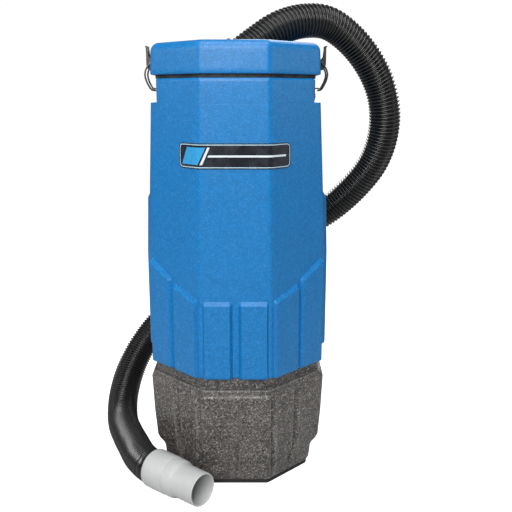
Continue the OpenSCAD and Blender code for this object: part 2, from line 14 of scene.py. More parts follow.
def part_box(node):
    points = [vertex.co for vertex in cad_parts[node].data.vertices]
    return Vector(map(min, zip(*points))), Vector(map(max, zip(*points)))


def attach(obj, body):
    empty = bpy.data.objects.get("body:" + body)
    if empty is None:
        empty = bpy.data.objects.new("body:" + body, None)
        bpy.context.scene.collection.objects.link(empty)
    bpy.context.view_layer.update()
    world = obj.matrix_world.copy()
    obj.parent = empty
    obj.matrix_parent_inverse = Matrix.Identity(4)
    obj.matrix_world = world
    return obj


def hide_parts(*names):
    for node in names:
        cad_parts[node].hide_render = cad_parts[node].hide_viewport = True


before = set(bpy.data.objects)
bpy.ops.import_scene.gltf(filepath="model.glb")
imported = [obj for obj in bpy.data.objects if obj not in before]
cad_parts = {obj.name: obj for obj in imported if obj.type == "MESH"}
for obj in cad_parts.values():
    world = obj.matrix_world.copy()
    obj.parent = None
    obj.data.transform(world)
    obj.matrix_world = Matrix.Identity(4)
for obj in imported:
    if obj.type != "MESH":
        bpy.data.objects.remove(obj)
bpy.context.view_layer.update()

bl_info = {
    "name": "Backpack vacuum cleaner",
    "version": (1, 0, 0),
    "blender": (4, 5, 0),
    "location": "3D View > Sidebar > Vacuum",
    "description": "Builds the shells, hose, pads, webbing and finishes of a backpack vacuum cleaner",
    "category": "Object",
}

MM = 0.001
T8 = math.tan(math.radians(22.5))   # half the turn from one of the eight faces to the next
WALL = .004                         # moulded wall of tank and base
RIM_WALL = 9.5 * MM                 # thicker wall round the tank's mouth
POCKET = .029                       # height of the latch pockets under the rim
CORNERS = ((1, 1, 0), (-1, 1, 90), (-1, -1, 180), (1, -1, 270))   # side x, side z, first angle


# ---------------------------------------------------------------- sizes and colours
class VacTankProps(bpy.types.PropertyGroup):
    """Sizes of the tank, lid and base."""
    half_width: bpy.props.FloatProperty(
        name="Half width", description="Half width of the tank at the seam", default=0.115, unit="LENGTH")
    front: bpy.props.FloatProperty(
        name="Front", description="Centre line to the front face", default=0.109, unit="LENGTH")
    rear: bpy.props.FloatProperty(
        name="Rear", description="Centre line to the rear face", default=0.105, unit="LENGTH")
    seam: bpy.props.FloatProperty(
        name="Seam height", description="Height of the seam over the base", default=0.155, unit="LENGTH")
    body_top: bpy.props.FloatProperty(
        name="Tank top", description="Height of the tank's rim",
        default=round(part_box("body_shell")[1].z, 5), unit="LENGTH")
    total: bpy.props.FloatProperty(
        name="Lid top", description="Height of the lid's top",
        default=round(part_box("lid_shell")[1].z, 5), unit="LENGTH")
    panel_rise: bpy.props.FloatProperty(
        name="Panel rise", description="How far the lower panels stand proud", default=0.0046, unit="LENGTH")
    ripple: bpy.props.FloatProperty(
        name="Ripple", description="Slight unevenness of the moulded walls", default=0.00022, unit="LENGTH")


class VacHoseProps(bpy.types.PropertyGroup):
    """Sizes of the hose and its cuff."""
    radius: bpy.props.FloatProperty(
        name="Hose radius", description="Radius over the ribs", default=0.0226, unit="LENGTH")
    tooth: bpy.props.FloatProperty(
        name="Rib depth", description="Depth of a stretched rib", default=0.0031, unit="LENGTH")
    pitch_wide: bpy.props.FloatProperty(
        name="Wide pitch", description="Rib spacing where the hose is stretched", default=0.0052,
        unit="LENGTH")
    pitch_close: bpy.props.FloatProperty(
        name="Close pitch", description="Rib spacing where it is relaxed", default=0.0042, unit="LENGTH")
    length: bpy.props.FloatProperty(
        name="Length", description="Length of the hose along its line", default=1.19, unit="LENGTH")


class VacSoftProps(bpy.types.PropertyGroup):
    """The harness: pads and webbing."""
    voxel: bpy.props.FloatProperty(
        name="Pad mesh", description="Mesh size of the stuffed pads", default=0.0045, unit="LENGTH")
    pressure: bpy.props.FloatProperty(
        name="Stuffing", description="Pressure inside the pads while they are shaped", default=4.0)
    stitch: bpy.props.FloatProperty(
        name="Stitch spacing", description="Distance from stitch to stitch", default=0.0055, unit="LENGTH")


class VacColourProps(bpy.types.PropertyGroup):
    """The finishes' main colours."""
    blue: bpy.props.FloatVectorProperty(
        name="Tank blue", description="Moulded tank and lid", default=(0.001, 0.157, 0.425), size=3,
        subtype="COLOR", min=0, max=1)
    granite: bpy.props.FloatVectorProperty(
        name="Base grey", description="Ground colour of the speckled base", default=(0.075, 0.070, 0.066),
        size=3, subtype="COLOR", min=0, max=1)
    cuff: bpy.props.FloatVectorProperty(
        name="Cuff grey", description="Wand cuff", default=(0.485, 0.495, 0.495), size=3,
        subtype="COLOR", min=0, max=1)
    hose: bpy.props.FloatVectorProperty(
        name="Hose black", description="Ribbed hose", default=(0.012, 0.0125, 0.012), size=3,
        subtype="COLOR", min=0, max=1)
    metal: bpy.props.FloatVectorProperty(
        name="Latch metal", description="Latches and bails", default=(0.055, 0.052, 0.045), size=3,
        subtype="COLOR", min=0, max=1)


def tank():
    """Sizes of tank, lid and base."""
    return bpy.context.scene.vac_tank


def hose():
    """Sizes of the hose."""
    return bpy.context.scene.vac_hose


def soft():
    """Settings of the pads and stitches."""
    return bpy.context.scene.vac_soft


def colours():
    """Main colours of the finishes."""
    return bpy.context.scene.vac_colour


# ---------------------------------------------------------------- mesh helpers
def make_object(name, verts, faces, smooth=35.0):
    """A closed mesh object at the origin, shaded smooth except across edges sharper than the angle."""
    me = bpy.data.meshes.new(name)
    me.from_pydata([tuple(v) for v in verts], [], [tuple(f) for f in faces])
    me.update()
    ob = bpy.data.objects.new(name, me)
    bpy.context.scene.collection.objects.link(ob)
    shade(ob, smooth)
    return ob


def shade(ob, angle):
    """Smooth shading with sharp edges over the angle in degrees; no sharp edges for None."""
    me = ob.data
    me.polygons.foreach_set("use_smooth", [True] * len(me.polygons))
    if angle is not None:
        me.set_sharp_from_angle(angle=math.radians(angle))
    me.update()


def outward(ob):
    """Merges doubles and turns every face outwards."""
    bm = bmesh.new()
    bm.from_mesh(ob.data)
    bmesh.ops.remove_doubles(bm, verts=bm.verts, dist=1e-6)
    bmesh.ops.recalc_face_normals(bm, faces=bm.faces)
    bm.to_mesh(ob.data)
    bm.free()
    return ob


def loft(name, rings, closed=False, smooth=35.0):
    """Skin over rings of equal count. Open ends are capped; a closed loft joins last to first."""
    n, m = len(rings[0]), len(rings)
    verts = [p for r in rings for p in r]
    faces = []
    for i in range(m if closed else m - 1):
        a, b = i * n, ((i + 1) % m) * n
        for j in range(n):
            k = (j + 1) % n
            faces.append((a + j, a + k, b + k, b + j))
    if not closed:
        faces.append(tuple(reversed(range(n))))
        faces.append(tuple(range((m - 1) * n, m * n)))
    return make_object(name, verts, faces, smooth)


def plain_copy(ob, name):
    """The evaluated mesh of an object as a new plain object; the old one is removed."""
    dg = bpy.context.evaluated_depsgraph_get()
    me = bpy.data.meshes.new_from_object(ob.evaluated_get(dg))
    new = bpy.data.objects.new(name, me)
    bpy.context.scene.collection.objects.link(new)
    bpy.data.objects.remove(ob, do_unlink=True)
    me.name = name
    return new


def cut(ob, *tools, operation="DIFFERENCE"):
    """Boolean with tool objects, which are then removed."""
    name = ob.name
    for t in tools:
        mod = ob.modifiers.new("cut", "BOOLEAN")
        mod.operation, mod.object, mod.solver = operation, t, "EXACT"
    bpy.context.view_layer.update()
    ob.name = name + "_old"
    new = plain_copy(ob, name)
    for t in tools:
        bpy.data.objects.remove(t, do_unlink=True)
    return new


def block(name, lo, hi):
    """A box from its lowest to its highest corner."""
    v = [(x, y, z) for z in (lo[2], hi[2]) for y in (lo[1], hi[1]) for x in (lo[0], hi[0])]
    f = [(0, 2, 3, 1), (4, 5, 7, 6), (0, 1, 5, 4), (2, 6, 7, 3), (0, 4, 6, 2), (1, 3, 7, 5)]
    return make_object(name, v, f, None)


def turned(name, a, axis, profile, n=64, closed=True, smooth=30.0):
    """A revolved piece: profile is (distance along axis, radius), axis starts at a."""
    axis = Vector(axis).normalized()
    u = axis.orthogonal().normalized()
    w = axis.cross(u)
    rings = []
    for t, r in profile:
        rings.append([Vector(a) + axis * t + (u * math.cos(q) + w * math.sin(q)) * r
                      for q in (2 * math.pi * i / n for i in range(n))])
    ob = loft(name, rings, closed=closed, smooth=smooth)
    return outward(ob)


def smoothstep(x, a, b):
    """0 below a, 1 above b, and a smooth rise between them."""
    t = min(1.0, max(0.0, (x - a) / (b - a)))
    return t * t * (3 - 2 * t)


def plateau(x, a, b, w):
    """1 between a and b, falling smoothly to 0 within w inside each end."""
    return smoothstep(x, a, a + w) * (1 - smoothstep(x, b - w, b))


# ---------------------------------------------------------------- eight-sided sections
def inset(o, t):
    """A section made smaller by t all round."""
    return (o[0] - t, o[1] - t, o[2] - t, o[3] - t * T8, o[4] - t * T8, max(o[5] - t, 1.5 * MM))


def mix(a, b, t):
    """Numbers on the way from a to b."""
    return tuple(x * (1 - t) + y * t for x, y in zip(a, b))


ARC = 7                                    # points round each rounded corner
EDGE = (46, 40, 30, 30, 30, 40, 46, 44)    # parts of each face, counted from the right front face


def section(o, z, push=None):
    """Points of a rounded octagon at height z; push(face, s, length, z) moves them out.

    A section is (front, rear, half width, half front face, half rear face, corner radius)."""
    f, b, w, fh, bh, r = o
    c = [(fh, -f), (w, -(f - w + fh)), (w, b - w + bh), (bh, b),
         (-bh, b), (-w, b - w + bh), (-w, -(f - w + fh)), (-fh, -f)]
    pts = []
    for k in range(8):
        mid = math.radians(-67.5 + 45 * k)
        cx = c[k][0] - r / math.cos(math.radians(22.5)) * math.cos(mid)
        cy = c[k][1] - r / math.cos(math.radians(22.5)) * math.sin(mid)
        for j in range(ARC):
            a = math.radians(-90 + 45 * k + 45 * j / (ARC - 1))
            pts.append((cx + r * math.cos(a), cy + r * math.sin(a), z))
        a = math.radians(45 + 45 * k)
        ux, uy = math.cos(a), math.sin(a)
        nx, ny = uy, -ux
        p0, p1 = c[k], c[(k + 1) % 8]
        length = math.hypot(p1[0] - p0[0], p1[1] - p0[1])
        t = r * T8
        for j in range(1, EDGE[k]):
            s = t + (length - 2 * t) * j / EDGE[k]
            d = push(k, s, length, z) if push else 0.0
            pts.append((p0[0] + ux * s + nx * d, p0[1] + uy * s + ny * d, z))
    return pts


def rippled(pts, amount, scale=14.0, seed=0.0):
    """Moves points along their radial direction by a slow noise."""
    out = []
    for x, y, z in pts:
        n = noise.noise(Vector((x * scale + seed, y * scale, z * scale * 0.7)))
        r = math.hypot(x, y) or 1.0
        out.append((x + x / r * n * amount, y + y / r * n * amount, z))
    return out


# ---------------------------------------------------------------- shader groups
class Nodes:
    """Small helper for writing a node tree line by line."""

    def __init__(self, tree):
        self.tree = tree
        self.x = 0

    def add(self, kind, **inputs):
        node = self.tree.nodes.new(kind)
        self.x += 190
        node.location = (self.x, 0)
        for key, value in inputs.items():
            if key.startswith("p_"):
                setattr(node, key[2:], value)
        for key, value in inputs.items():
            if key.startswith("p_"):
                continue
            numbered = key[0] == "i" and key[1:].isdigit()
            sock = node.inputs[int(key[1:]) if numbered else key.replace("_", " ")]
            if isinstance(value, bpy.types.NodeSocket):
                self.tree.links.new(value, sock)
            else:
                sock.default_value = value
        return node

    def link(self, a, b):
        self.tree.links.new(a, b)

    def math(self, op, a, b=0.0, clamp=False):
        return self.add("ShaderNodeMath", p_operation=op, p_use_clamp=clamp, i0=a, i1=b).outputs[0]

    def ramp(self, fac, lo, hi, a=0.0, b=1.0):
        n = self.add("ShaderNodeMapRange", p_interpolation_type="SMOOTHSTEP", Value=fac)
        n.inputs["From Min"].default_value = lo
        n.inputs["From Max"].default_value = hi
        n.inputs["To Min"].default_value = a
        n.inputs["To Max"].default_value = b
        return n.outputs[0]

    def blend(self, fac, a, b, mode="MIX"):
        n = self.add("ShaderNodeMix", p_data_type="RGBA", p_blend_type=mode)
        for sock, value in ((n.inputs[0], fac), (n.inputs[6], a), (n.inputs[7], b)):
            if isinstance(value, bpy.types.NodeSocket):
                self.tree.links.new(value, sock)
            elif hasattr(value, "__len__") and len(value) == 3:
                sock.default_value = (*value, 1.0)
            else:
                sock.default_value = value
        return n.outputs[2]

    def over(self, col, mask, amount, tint):
        """A tint laid over a colour by a share of a mask."""
        return self.blend(self.math("MULTIPLY", mask, amount), col, tint)


def new_group(name, ins, outs):
    """A shader group: ins is (name, kind, default), outs is (name, kind)."""
    g = bpy.data.node_groups.new(name, "ShaderNodeTree")
    for label, kind, default in ins:
        s = g.interface.new_socket(name=label, in_out="INPUT", socket_type="NodeSocket" + kind)
        if default is not None:
            s.default_value = default
    for label, kind in outs:
        g.interface.new_socket(name=label, in_out="OUTPUT", socket_type="NodeSocket" + kind)
    return g, Nodes(g), g.nodes.new("NodeGroupInput"), g.nodes.new("NodeGroupOutput")


def group_speckle():
    """Scattered round specks of one size: a mask of those whose random value is under Share."""
    g, n, gi, go = new_group(
        "Specks", [("Vector", "Vector", None), ("Scale", "Float", 500.0), ("Share", "Float", 0.3),
                   ("Size", "Float", 0.35), ("Offset", "Float", 0.0)], [("Mask", "Float")])
    shift = n.add("ShaderNodeVectorMath", p_operation="ADD", i0=gi.outputs["Vector"], i1=gi.outputs["Offset"])
    v = n.add("ShaderNodeTexVoronoi", Vector=shift.outputs[0], Scale=gi.outputs["Scale"])
    pick = n.add("ShaderNodeSeparateColor", Color=v.outputs["Color"])
    chosen = n.math("LESS_THAN", pick.outputs[0], gi.outputs["Share"])
    size = n.math("MULTIPLY", gi.outputs["Size"], n.math("ADD", pick.outputs[1], 0.45))
    near = n.math("LESS_THAN", v.outputs["Distance"], size)
    g.links.new(n.math("MULTIPLY", chosen, near), go.inputs["Mask"])
    return g


def group_grain():
    """Two sizes of soft noise: a height for bump and a slow mottle for colour."""
    g, n, gi, go = new_group("Grain", [("Vector", "Vector", None), ("Fine", "Float", 1200.0),
                                       ("Slow", "Float", 18.0)],
                             [("Height", "Float"), ("Mottle", "Float")])
    a = n.add("ShaderNodeTexNoise", Vector=gi.outputs["Vector"], Scale=gi.outputs["Fine"], Detail=3.0,
              Roughness=0.6)
    b = n.add("ShaderNodeTexNoise", Vector=gi.outputs["Vector"], Scale=gi.outputs["Slow"], Detail=4.0,
              Roughness=0.55)
    g.links.new(a.outputs["Fac"], go.inputs["Height"])
    g.links.new(n.ramp(b.outputs["Fac"], 0.3, 0.7), go.inputs["Mottle"])
    return g


def group_edge_wear_and_highlight():
    """Edges and corners from the surface's pointiness, broken up by noise: a mask for rubbed wear, and on the
    granite base also for painted highlight.
    """
    g, n, gi, go = new_group("Edge Wear And Highlight", [("Vector", "Vector", None), ("Low", "Float", 0.52),
                                           ("High", "Float", 0.6)],
                             [("Mask", "Float")])
    geo = n.add("ShaderNodeNewGeometry")
    t = n.add("ShaderNodeTexNoise", Vector=gi.outputs["Vector"], Scale=90.0, Detail=4.0)
    m = n.add("ShaderNodeMapRange", Value=geo.outputs["Pointiness"])
    g.links.new(gi.outputs["Low"], m.inputs["From Min"])
    g.links.new(gi.outputs["High"], m.inputs["From Max"])
    g.links.new(n.math("MULTIPLY", m.outputs[0], n.ramp(t.outputs["Fac"], 0.4, 0.62)), go.inputs["Mask"])
    return g


def group_weave():
    """Plain weave: threads over and under along two directions of the given vector."""
    g, n, gi, go = new_group("Weave", [("Vector", "Vector", None), ("Threads", "Float", 900.0),
                                       ("Ratio", "Float", 1.0)],
                             [("Height", "Float"), ("Over", "Float")])
    sc = n.add("ShaderNodeVectorMath", p_operation="SCALE", i0=gi.outputs["Vector"])
    g.links.new(gi.outputs["Threads"], sc.inputs["Scale"])
    sep = n.add("ShaderNodeSeparateXYZ", Vector=sc.outputs[0])
    x = n.math("MULTIPLY", sep.outputs[0], gi.outputs["Ratio"])
    z = sep.outputs[2]
    cx = n.math("ABSOLUTE", n.math("SINE", x))
    cz = n.math("ABSOLUTE", n.math("SINE", z))
    px = n.math("GREATER_THAN", n.math("SINE", n.math("MULTIPLY", x, 0.5)), 0.0)
    pz = n.math("GREATER_THAN", n.math("SINE", n.math("MULTIPLY", z, 0.5)), 0.0)
    over = n.math("ABSOLUTE", n.math("SUBTRACT", px, pz))
    h1 = n.math("MULTIPLY", cx, n.math("ADD", over, 0.35))
    h2 = n.math("MULTIPLY", cz, n.math("SUBTRACT", 1.35, over))
    g.links.new(n.math("MAXIMUM", h1, h2), go.inputs["Height"])
    g.links.new(over, go.inputs["Over"])
    return g


GROUP_MAKERS = {"Specks": group_speckle, "Grain": group_grain, "Edge Wear And Highlight": group_edge_wear_and_highlight,
                "Weave": group_weave}
SHARED = {}


def shared(name):
    """A shared shader group, built the first time that it is asked for."""
    if name not in SHARED:
        SHARED[name] = GROUP_MAKERS[name]()
    return SHARED[name]


def start_material(name):
    """A material with its Principled shader, its node writer and the Object coordinates."""
    m = bpy.data.materials.new(name)
    m.use_nodes = True
    n = Nodes(m.node_tree)
    bsdf = next(x for x in m.node_tree.nodes if x.type == "BSDF_PRINCIPLED")
    bsdf.location = (3000, 0)
    co = n.add("ShaderNodeTexCoord").outputs["Object"]
    return m, n, bsdf, co


def use(n, name, **inputs):
    """Places a shared group in a material with its own values."""
    node = n.tree.nodes.new("ShaderNodeGroup")
    node.node_tree = shared(name)
    n.x += 190
    node.location = (n.x, -200)
    for key, value in inputs.items():
        sock = node.inputs[key.replace("_", " ")]
        if isinstance(value, bpy.types.NodeSocket):
            n.tree.links.new(value, sock)
        else:
            sock.default_value = value
    return node


def set_bump(n, bsdf, height, distance, strength=1.0):
    """Fine relief of the surface, by a bump node on the shader's normal."""
    b = n.add("ShaderNodeBump", Height=height)
    b.inputs["Distance"].default_value = distance
    b.inputs["Strength"].default_value = strength
    n.link(b.outputs[0], bsdf.inputs["Normal"])


def paint(n, bsdf, col, unevenness, rough, spread):
    """Base Color, and a roughness that rises from rough by spread with the unevenness."""
    n.link(col, bsdf.inputs["Base Color"])
    n.link(n.math("ADD", n.math("MULTIPLY", unevenness, spread), rough), bsdf.inputs["Roughness"])


def tinted(colour, k, lift=0.0):
    """A colour made darker or paler, kept within range."""
    return tuple(min(1, c * k + lift) for c in colour)


def flecked(n, co, col, flecks):
    """Layers of specks over a colour; a layer is (scale, share, size, offset, tint, amount)."""
    for scale, share, size, offset, tint, amount in flecks:
        specks = use(n, "Specks", Vector=co, Scale=scale, Share=share, Size=size, Offset=offset)
        col = n.over(col, specks.outputs[0], amount, tint)
    return col


def worn(n, co, col, low, high, amount, tint):
    """Paler edges over a colour: rubbed wear, and on the granite base also painted highlight."""
    return n.over(col, use(n, "Edge Wear And Highlight", Vector=co, Low=low, High=high).outputs[0], amount, tint)


MATS = {}


def mat(name):
    """A material by its short name, made the first time that it is asked for."""
    if name not in MATS:
        MATS[name] = MAKERS[name]()
    return MATS[name]


def moulded_blue():
    """Rotomoulded plastic with light and dark flecks, a mottled skin and a slight orange peel."""
    m, n, b, co = start_material("Speckled Blue Plastic")
    base = tuple(colours().blue)
    pale = tinted(base, 1.5, 0.012)
    g = use(n, "Grain", Vector=co, Fine=700.0, Slow=26.0)
    cloud = use(n, "Grain", Vector=co, Fine=260.0, Slow=150.0)
    col = n.over(base, g.outputs["Mottle"], 0.4, tinted(base, 0.86))
    col = n.over(col, cloud.outputs["Mottle"], 0.38, tinted(base, 1.22, 0.006))
    col = flecked(n, co, col, ((620.0, 0.34, 0.62, 0.0, pale, 0.34),
                               (540.0, 0.30, 0.62, 3.7, tinted(base, 0.62), 0.36),
                               (330.0, 0.05, 0.50, 9.1, (0.25, 0.45, 0.75), 0.06)))
    col = worn(n, co, col, 0.53, 0.64, 0.3, pale)
    paint(n, b, col, g.outputs["Mottle"], 0.33, 0.07)
    b.inputs["Specular IOR Level"].default_value = 0.42
    set_bump(n, b, g.outputs["Height"], 0.00045, 0.5)
    return m


def granite_grey():
    """Moulded plastic coloured like granite: dark ground, pale, brown and black grains, and pale edges that
    are partly rubbed wear and partly painted highlight.
    """
    m, n, b, co = start_material("Granite Plastic")
    base = tuple(colours().granite)
    g = use(n, "Grain", Vector=co, Fine=800.0, Slow=30.0)
    col = n.blend(g.outputs["Mottle"], tinted(base, 0.8), tinted(base, 1.25))
    col = flecked(n, co, col, ((520.0, 0.34, 0.64, 1.3, (0.012, 0.012, 0.013), 0.9),
                               (620.0, 0.30, 0.58, 5.9, (0.27, 0.26, 0.25), 0.8),
                               (700.0, 0.14, 0.52, 12.4, (0.17, 0.125, 0.09), 0.7),
                               (520.0, 0.05, 0.46, 21.0, (0.42, 0.41, 0.39), 0.7)))
    # pale edges: partly rubbed wear, partly painted highlight along the rim's top edge and the flutes' edges
    col = worn(n, co, col, 0.515, 0.58, 0.7, (0.34, 0.34, 0.34))
    paint(n, b, col, g.outputs["Mottle"], 0.30, 0.12)
    set_bump(n, b, g.outputs["Height"], 0.0006, 0.6)
    return m


def plain_finish(name, colour, rough, grain=900.0, bump=0.0003, metallic=0.0, vary=0.25, coat=0.0,
                 wear=None, slow=25.0):
    """Factory for simple hard finishes: mottled colour and roughness, grain bump and worn edges."""
    m, n, b, co = start_material(name)
    g = use(n, "Grain", Vector=co, Fine=grain, Slow=slow)
    col = n.blend(g.outputs["Mottle"], tinted(colour, 1 - vary), tinted(colour, 1 + vary))
    if wear:
        col = worn(n, co, col, 0.51, 0.6, 0.6, wear)
    paint(n, b, col, g.outputs["Mottle"], rough - 0.06, 0.12)
    b.inputs["Metallic"].default_value = metallic
    b.inputs["Coat Weight"].default_value = coat
    if coat:
        b.inputs["Coat Roughness"].default_value = 0.2
    set_bump(n, b, g.outputs["Height"], bump, 0.6)
    return m


def brushed(name, colour, rough, stretch=(60.0, 60.0, 2500.0), tarnish=0.35):
    """Sheet or wire metal with drawn lines, dull patches and worn bright edges."""
    m, n, b, co = start_material(name)
    mp = n.add("ShaderNodeMapping", Vector=co)
    mp.inputs["Scale"].default_value = stretch
    lines = n.add("ShaderNodeTexNoise", Vector=mp.outputs[0], Scale=1.0, Detail=3.0).outputs["Fac"]
    g = use(n, "Grain", Vector=co, Fine=1500.0, Slow=70.0)
    col = n.blend(g.outputs["Mottle"], colour, tinted(colour, 1 - tarnish))
    col = n.over(col, lines, 0.3, tinted(colour, 1.5))
    col = worn(n, co, col, 0.51, 0.58, 0.7, tinted(colour, 2.2))
    paint(n, b, col, g.outputs["Mottle"], rough, 0.2)
    b.inputs["Metallic"].default_value = 1.0
    set_bump(n, b, lines, 0.00008, 0.6)
    return m


def cloth(name, colour, threads, sheen=0.4, bump=0.0004, ratio=1.0, rough=0.85):
    """Woven cloth: threads in Object coordinates, fuzz in colour, soft sheen."""
    m, n, b, co = start_material(name)
    weave = use(n, "Weave", Vector=co, Threads=threads, Ratio=ratio).outputs["Height"]
    g = use(n, "Grain", Vector=co, Fine=1600.0, Slow=45.0)
    col = n.blend(weave, tinted(colour, 0.45), tinted(colour, 1.5))
    col = n.over(col, g.outputs["Mottle"], 0.3, tinted(colour, 1.8, 0.01))
    paint(n, b, col, g.outputs["Height"], rough - 0.05, 0.1)
    b.inputs["Sheen Weight"].default_value = sheen
    b.inputs["Sheen Roughness"].default_value = 0.5
    set_bump(n, b, n.math("ADD", weave, n.math("MULTIPLY", g.outputs["Height"], 0.4)), bump, 0.9)
    return m


def hose_black():
    """Semi-gloss black plastic read from the piece's own rib value: painted shade darkens the valleys between
    ribs, painted highlight lightens the crests, and dust lies in the valleys.
    """
    m, n, b, co = start_material("Ribbed Hose Plastic")
    g = use(n, "Grain", Vector=co, Fine=900.0, Slow=22.0)
    rib = n.add("ShaderNodeAttribute", p_attribute_name="rib").outputs["Fac"]
    base = tuple(colours().hose)
    # painted shade in the valleys (0.3 of the hose colour) and painted highlight on the crests (1.3 of it)
    col = n.blend(n.ramp(rib, 0.1, 0.95), tinted(base, 0.3), tinted(base, 1.3, 0.004))
    dust = n.math("MULTIPLY", n.ramp(rib, 0.45, 0.0), n.math("MULTIPLY", g.outputs["Mottle"], 0.08))
    col = n.blend(dust, col, (0.06, 0.057, 0.053))
    paint(n, b, col, g.outputs["Mottle"], 0.19, 0.08)
    set_bump(n, b, g.outputs["Height"], 0.00025, 0.5)
    return m


def label_film():
    """Plain printed film: dark panel, thin pale border, a blue block and two pale lines. No lettering."""
    m, n, b, co = start_material("Label Film")
    across, upward, margin = (n.add("ShaderNodeAttribute", p_attribute_name=key).outputs["Fac"]
                              for key in ("across", "upward", "margin"))
    g = use(n, "Grain", Vector=co, Fine=1500.0, Slow=60.0)

    def between(v, lo, hi):
        return n.math("MULTIPLY", n.math("GREATER_THAN", v, lo), n.math("LESS_THAN", v, hi))

    col = n.blend(g.outputs["Mottle"], (0.006, 0.008, 0.014), (0.012, 0.016, 0.026))
    slant = n.math("ADD", across, n.math("MULTIPLY", upward, -0.09))
    pale = (0.65, 0.72, 0.78)
    for left, right, low, high, tint in ((0.02, 0.20, 0.16, 0.84, (0.03, 0.30, 0.62)),
                                         (0.215, 0.235, 0.16, 0.84, pale), (0.25, 0.90, 0.46, 0.54, pale)):
        col = n.blend(n.math("MULTIPLY", between(slant, left, right), between(upward, low, high)), col, tint)
    col = n.blend(between(margin, 0.0012, 0.0022), col, (0.45, 0.62, 0.75))
    paint(n, b, col, g.outputs["Mottle"], 0.22, 0.1)
    b.inputs["Coat Weight"].default_value = 0.4
    set_bump(n, b, g.outputs["Height"], 0.0001, 0.4)
    return m


def floor_paint():
    """Matt pale floor that shows pure white to the camera and still takes soft shadows."""
    m, n, b, co = start_material("Pale Floor")
    g = use(n, "Grain", Vector=co, Fine=60.0, Slow=2.0)
    n.link(n.blend(g.outputs["Mottle"], (0.50, 0.50, 0.50), (0.52, 0.52, 0.52)), b.inputs["Base Color"])
    b.inputs["Roughness"].default_value = 0.7
    seen = n.add("ShaderNodeLightPath").outputs["Is Camera Ray"]
    b.inputs["Emission Color"].default_value = (1, 1, 1, 1)
    n.link(n.math("MULTIPLY", seen, 0.93), b.inputs["Emission Strength"])
    return m


MAKERS = {
    "blue": moulded_blue,
    "granite": granite_grey,
    "cuff": lambda: plain_finish("Cuff Grey Plastic", tuple(colours().cuff), 0.42, 700.0, 0.0003, vary=0.06),
    "black": lambda: plain_finish("Black Moulded Plastic", (0.016, 0.016, 0.017), 0.45, 1100.0, 0.0003,
                                  wear=(0.07, 0.07, 0.07)),
    "rubber": lambda: plain_finish("Black Rubber", (0.012, 0.012, 0.012), 0.75, 700.0, 0.0004,
                                   wear=(0.05, 0.05, 0.05)),
    "red": lambda: plain_finish("Red Rocker Plastic", (0.42, 0.012, 0.01), 0.25, 900.0, 0.0001, vary=0.1,
                                coat=0.4),
    "latch": lambda: brushed("Latch Metal", tuple(colours().metal), 0.34),
    "wire": lambda: brushed("Bail Wire", (0.11, 0.10, 0.095), 0.3, (900.0, 60.0, 60.0)),
    "steel": lambda: brushed("Pressed Steel", (0.5, 0.5, 0.49), 0.32, (2200.0, 60.0, 60.0), 0.2),
    "iron": lambda: plain_finish("Laminated Iron", (0.09, 0.09, 0.1), 0.5, 1200.0, 0.0003, metallic=0.7),
    "copper": lambda: plain_finish("Varnished Winding", (0.32, 0.12, 0.03), 0.35, 1400.0, 0.0004,
                                   metallic=0.4, coat=0.3),
    "carbon": lambda: plain_finish("Carbon Brush", (0.02, 0.02, 0.02), 0.8, 1500.0, 0.0004),
    "foam": lambda: plain_finish("Open Foam", (0.05, 0.05, 0.055), 0.95, 420.0, 0.0016, vary=0.5),
    "medium": lambda: plain_finish("Filter Medium", (0.55, 0.54, 0.5), 0.95, 800.0, 0.0008, vary=0.12),
    "pad": lambda: cloth("Pad Cloth", (0.022, 0.022, 0.024), 1700.0, 0.5, 0.0005),
    "binding": lambda: cloth("Edge Binding", (0.012, 0.012, 0.013), 2600.0, 0.3, 0.0002),
    "web": lambda: cloth("Woven Webbing", (0.02, 0.02, 0.022), 2400.0, 0.35, 0.0004, ratio=0.55),
    "thread": lambda: plain_finish("Stitch Thread", (0.10, 0.105, 0.11), 0.7, 2500.0, 0.0001, vary=0.2),
    "bag": lambda: cloth("Filter Cloth", (0.62, 0.60, 0.52), 1900.0, 0.3, 0.0004),
    "hose": hose_black,
    "label": label_film,
    "floor": floor_paint,
}


def finish_with(ob, name, body=None):
    """Material, material slot and body of a made piece."""
    ob.data.materials.clear()
    ob.data.materials.append(mat(name))
    if body:
        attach(ob, body)
    return ob


def dress(node, name, bevel=None):
    """A CAD node that keeps its shape: its material and, on small hard parts, an eased edge."""
    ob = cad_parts[node]
    if not ob.material_slots:
        ob.data.materials.append(None)
    for s in ob.material_slots:
        s.link = "OBJECT"
        s.material = mat(name)
    if bevel:
        w = ob.modifiers.new("weld", "WELD")
        w.merge_threshold = 2e-6
        b = ob.modifiers.new("edge", "BEVEL")
        b.width, b.segments, b.limit_method = bevel, 2, "ANGLE"
        b.angle_limit = math.radians(38)
        b.use_clamp_overlap = True
        b.harden_normals = False
    return ob


# ---------------------------------------------------------------- sections of the tank
def tank_levels():
    """(height, section) pairs of the tank's outside, from the seam up."""
    p = tank()
    f, b, w, top = p.front, p.rear, p.half_width, p.body_top
    h = top - p.seam
    r = 9 * MM
    return [(p.seam, (f, b, w, .045, .045, r)), (p.seam + 0.39 * h, (f, b, w, .0445, .0445, r)),
            (p.seam + 0.62 * h, (f, b, w - .003, .0436, .0436, r)),
            (top - POCKET, (f, b, w - .0085, .0424, .0424, r)), (top, (f, b, w - .0092, .042, .042, r))]


def tank_at(z):
    """The tank's section at a height."""
    lv = tank_levels()
    if z <= lv[0][0]:
        return lv[0][1]
    for (z0, a), (z1, b) in zip(lv, lv[1:]):
        if z <= z1:
            return mix(a, b, (z - z0) / (z1 - z0))
    return lv[-1][1]


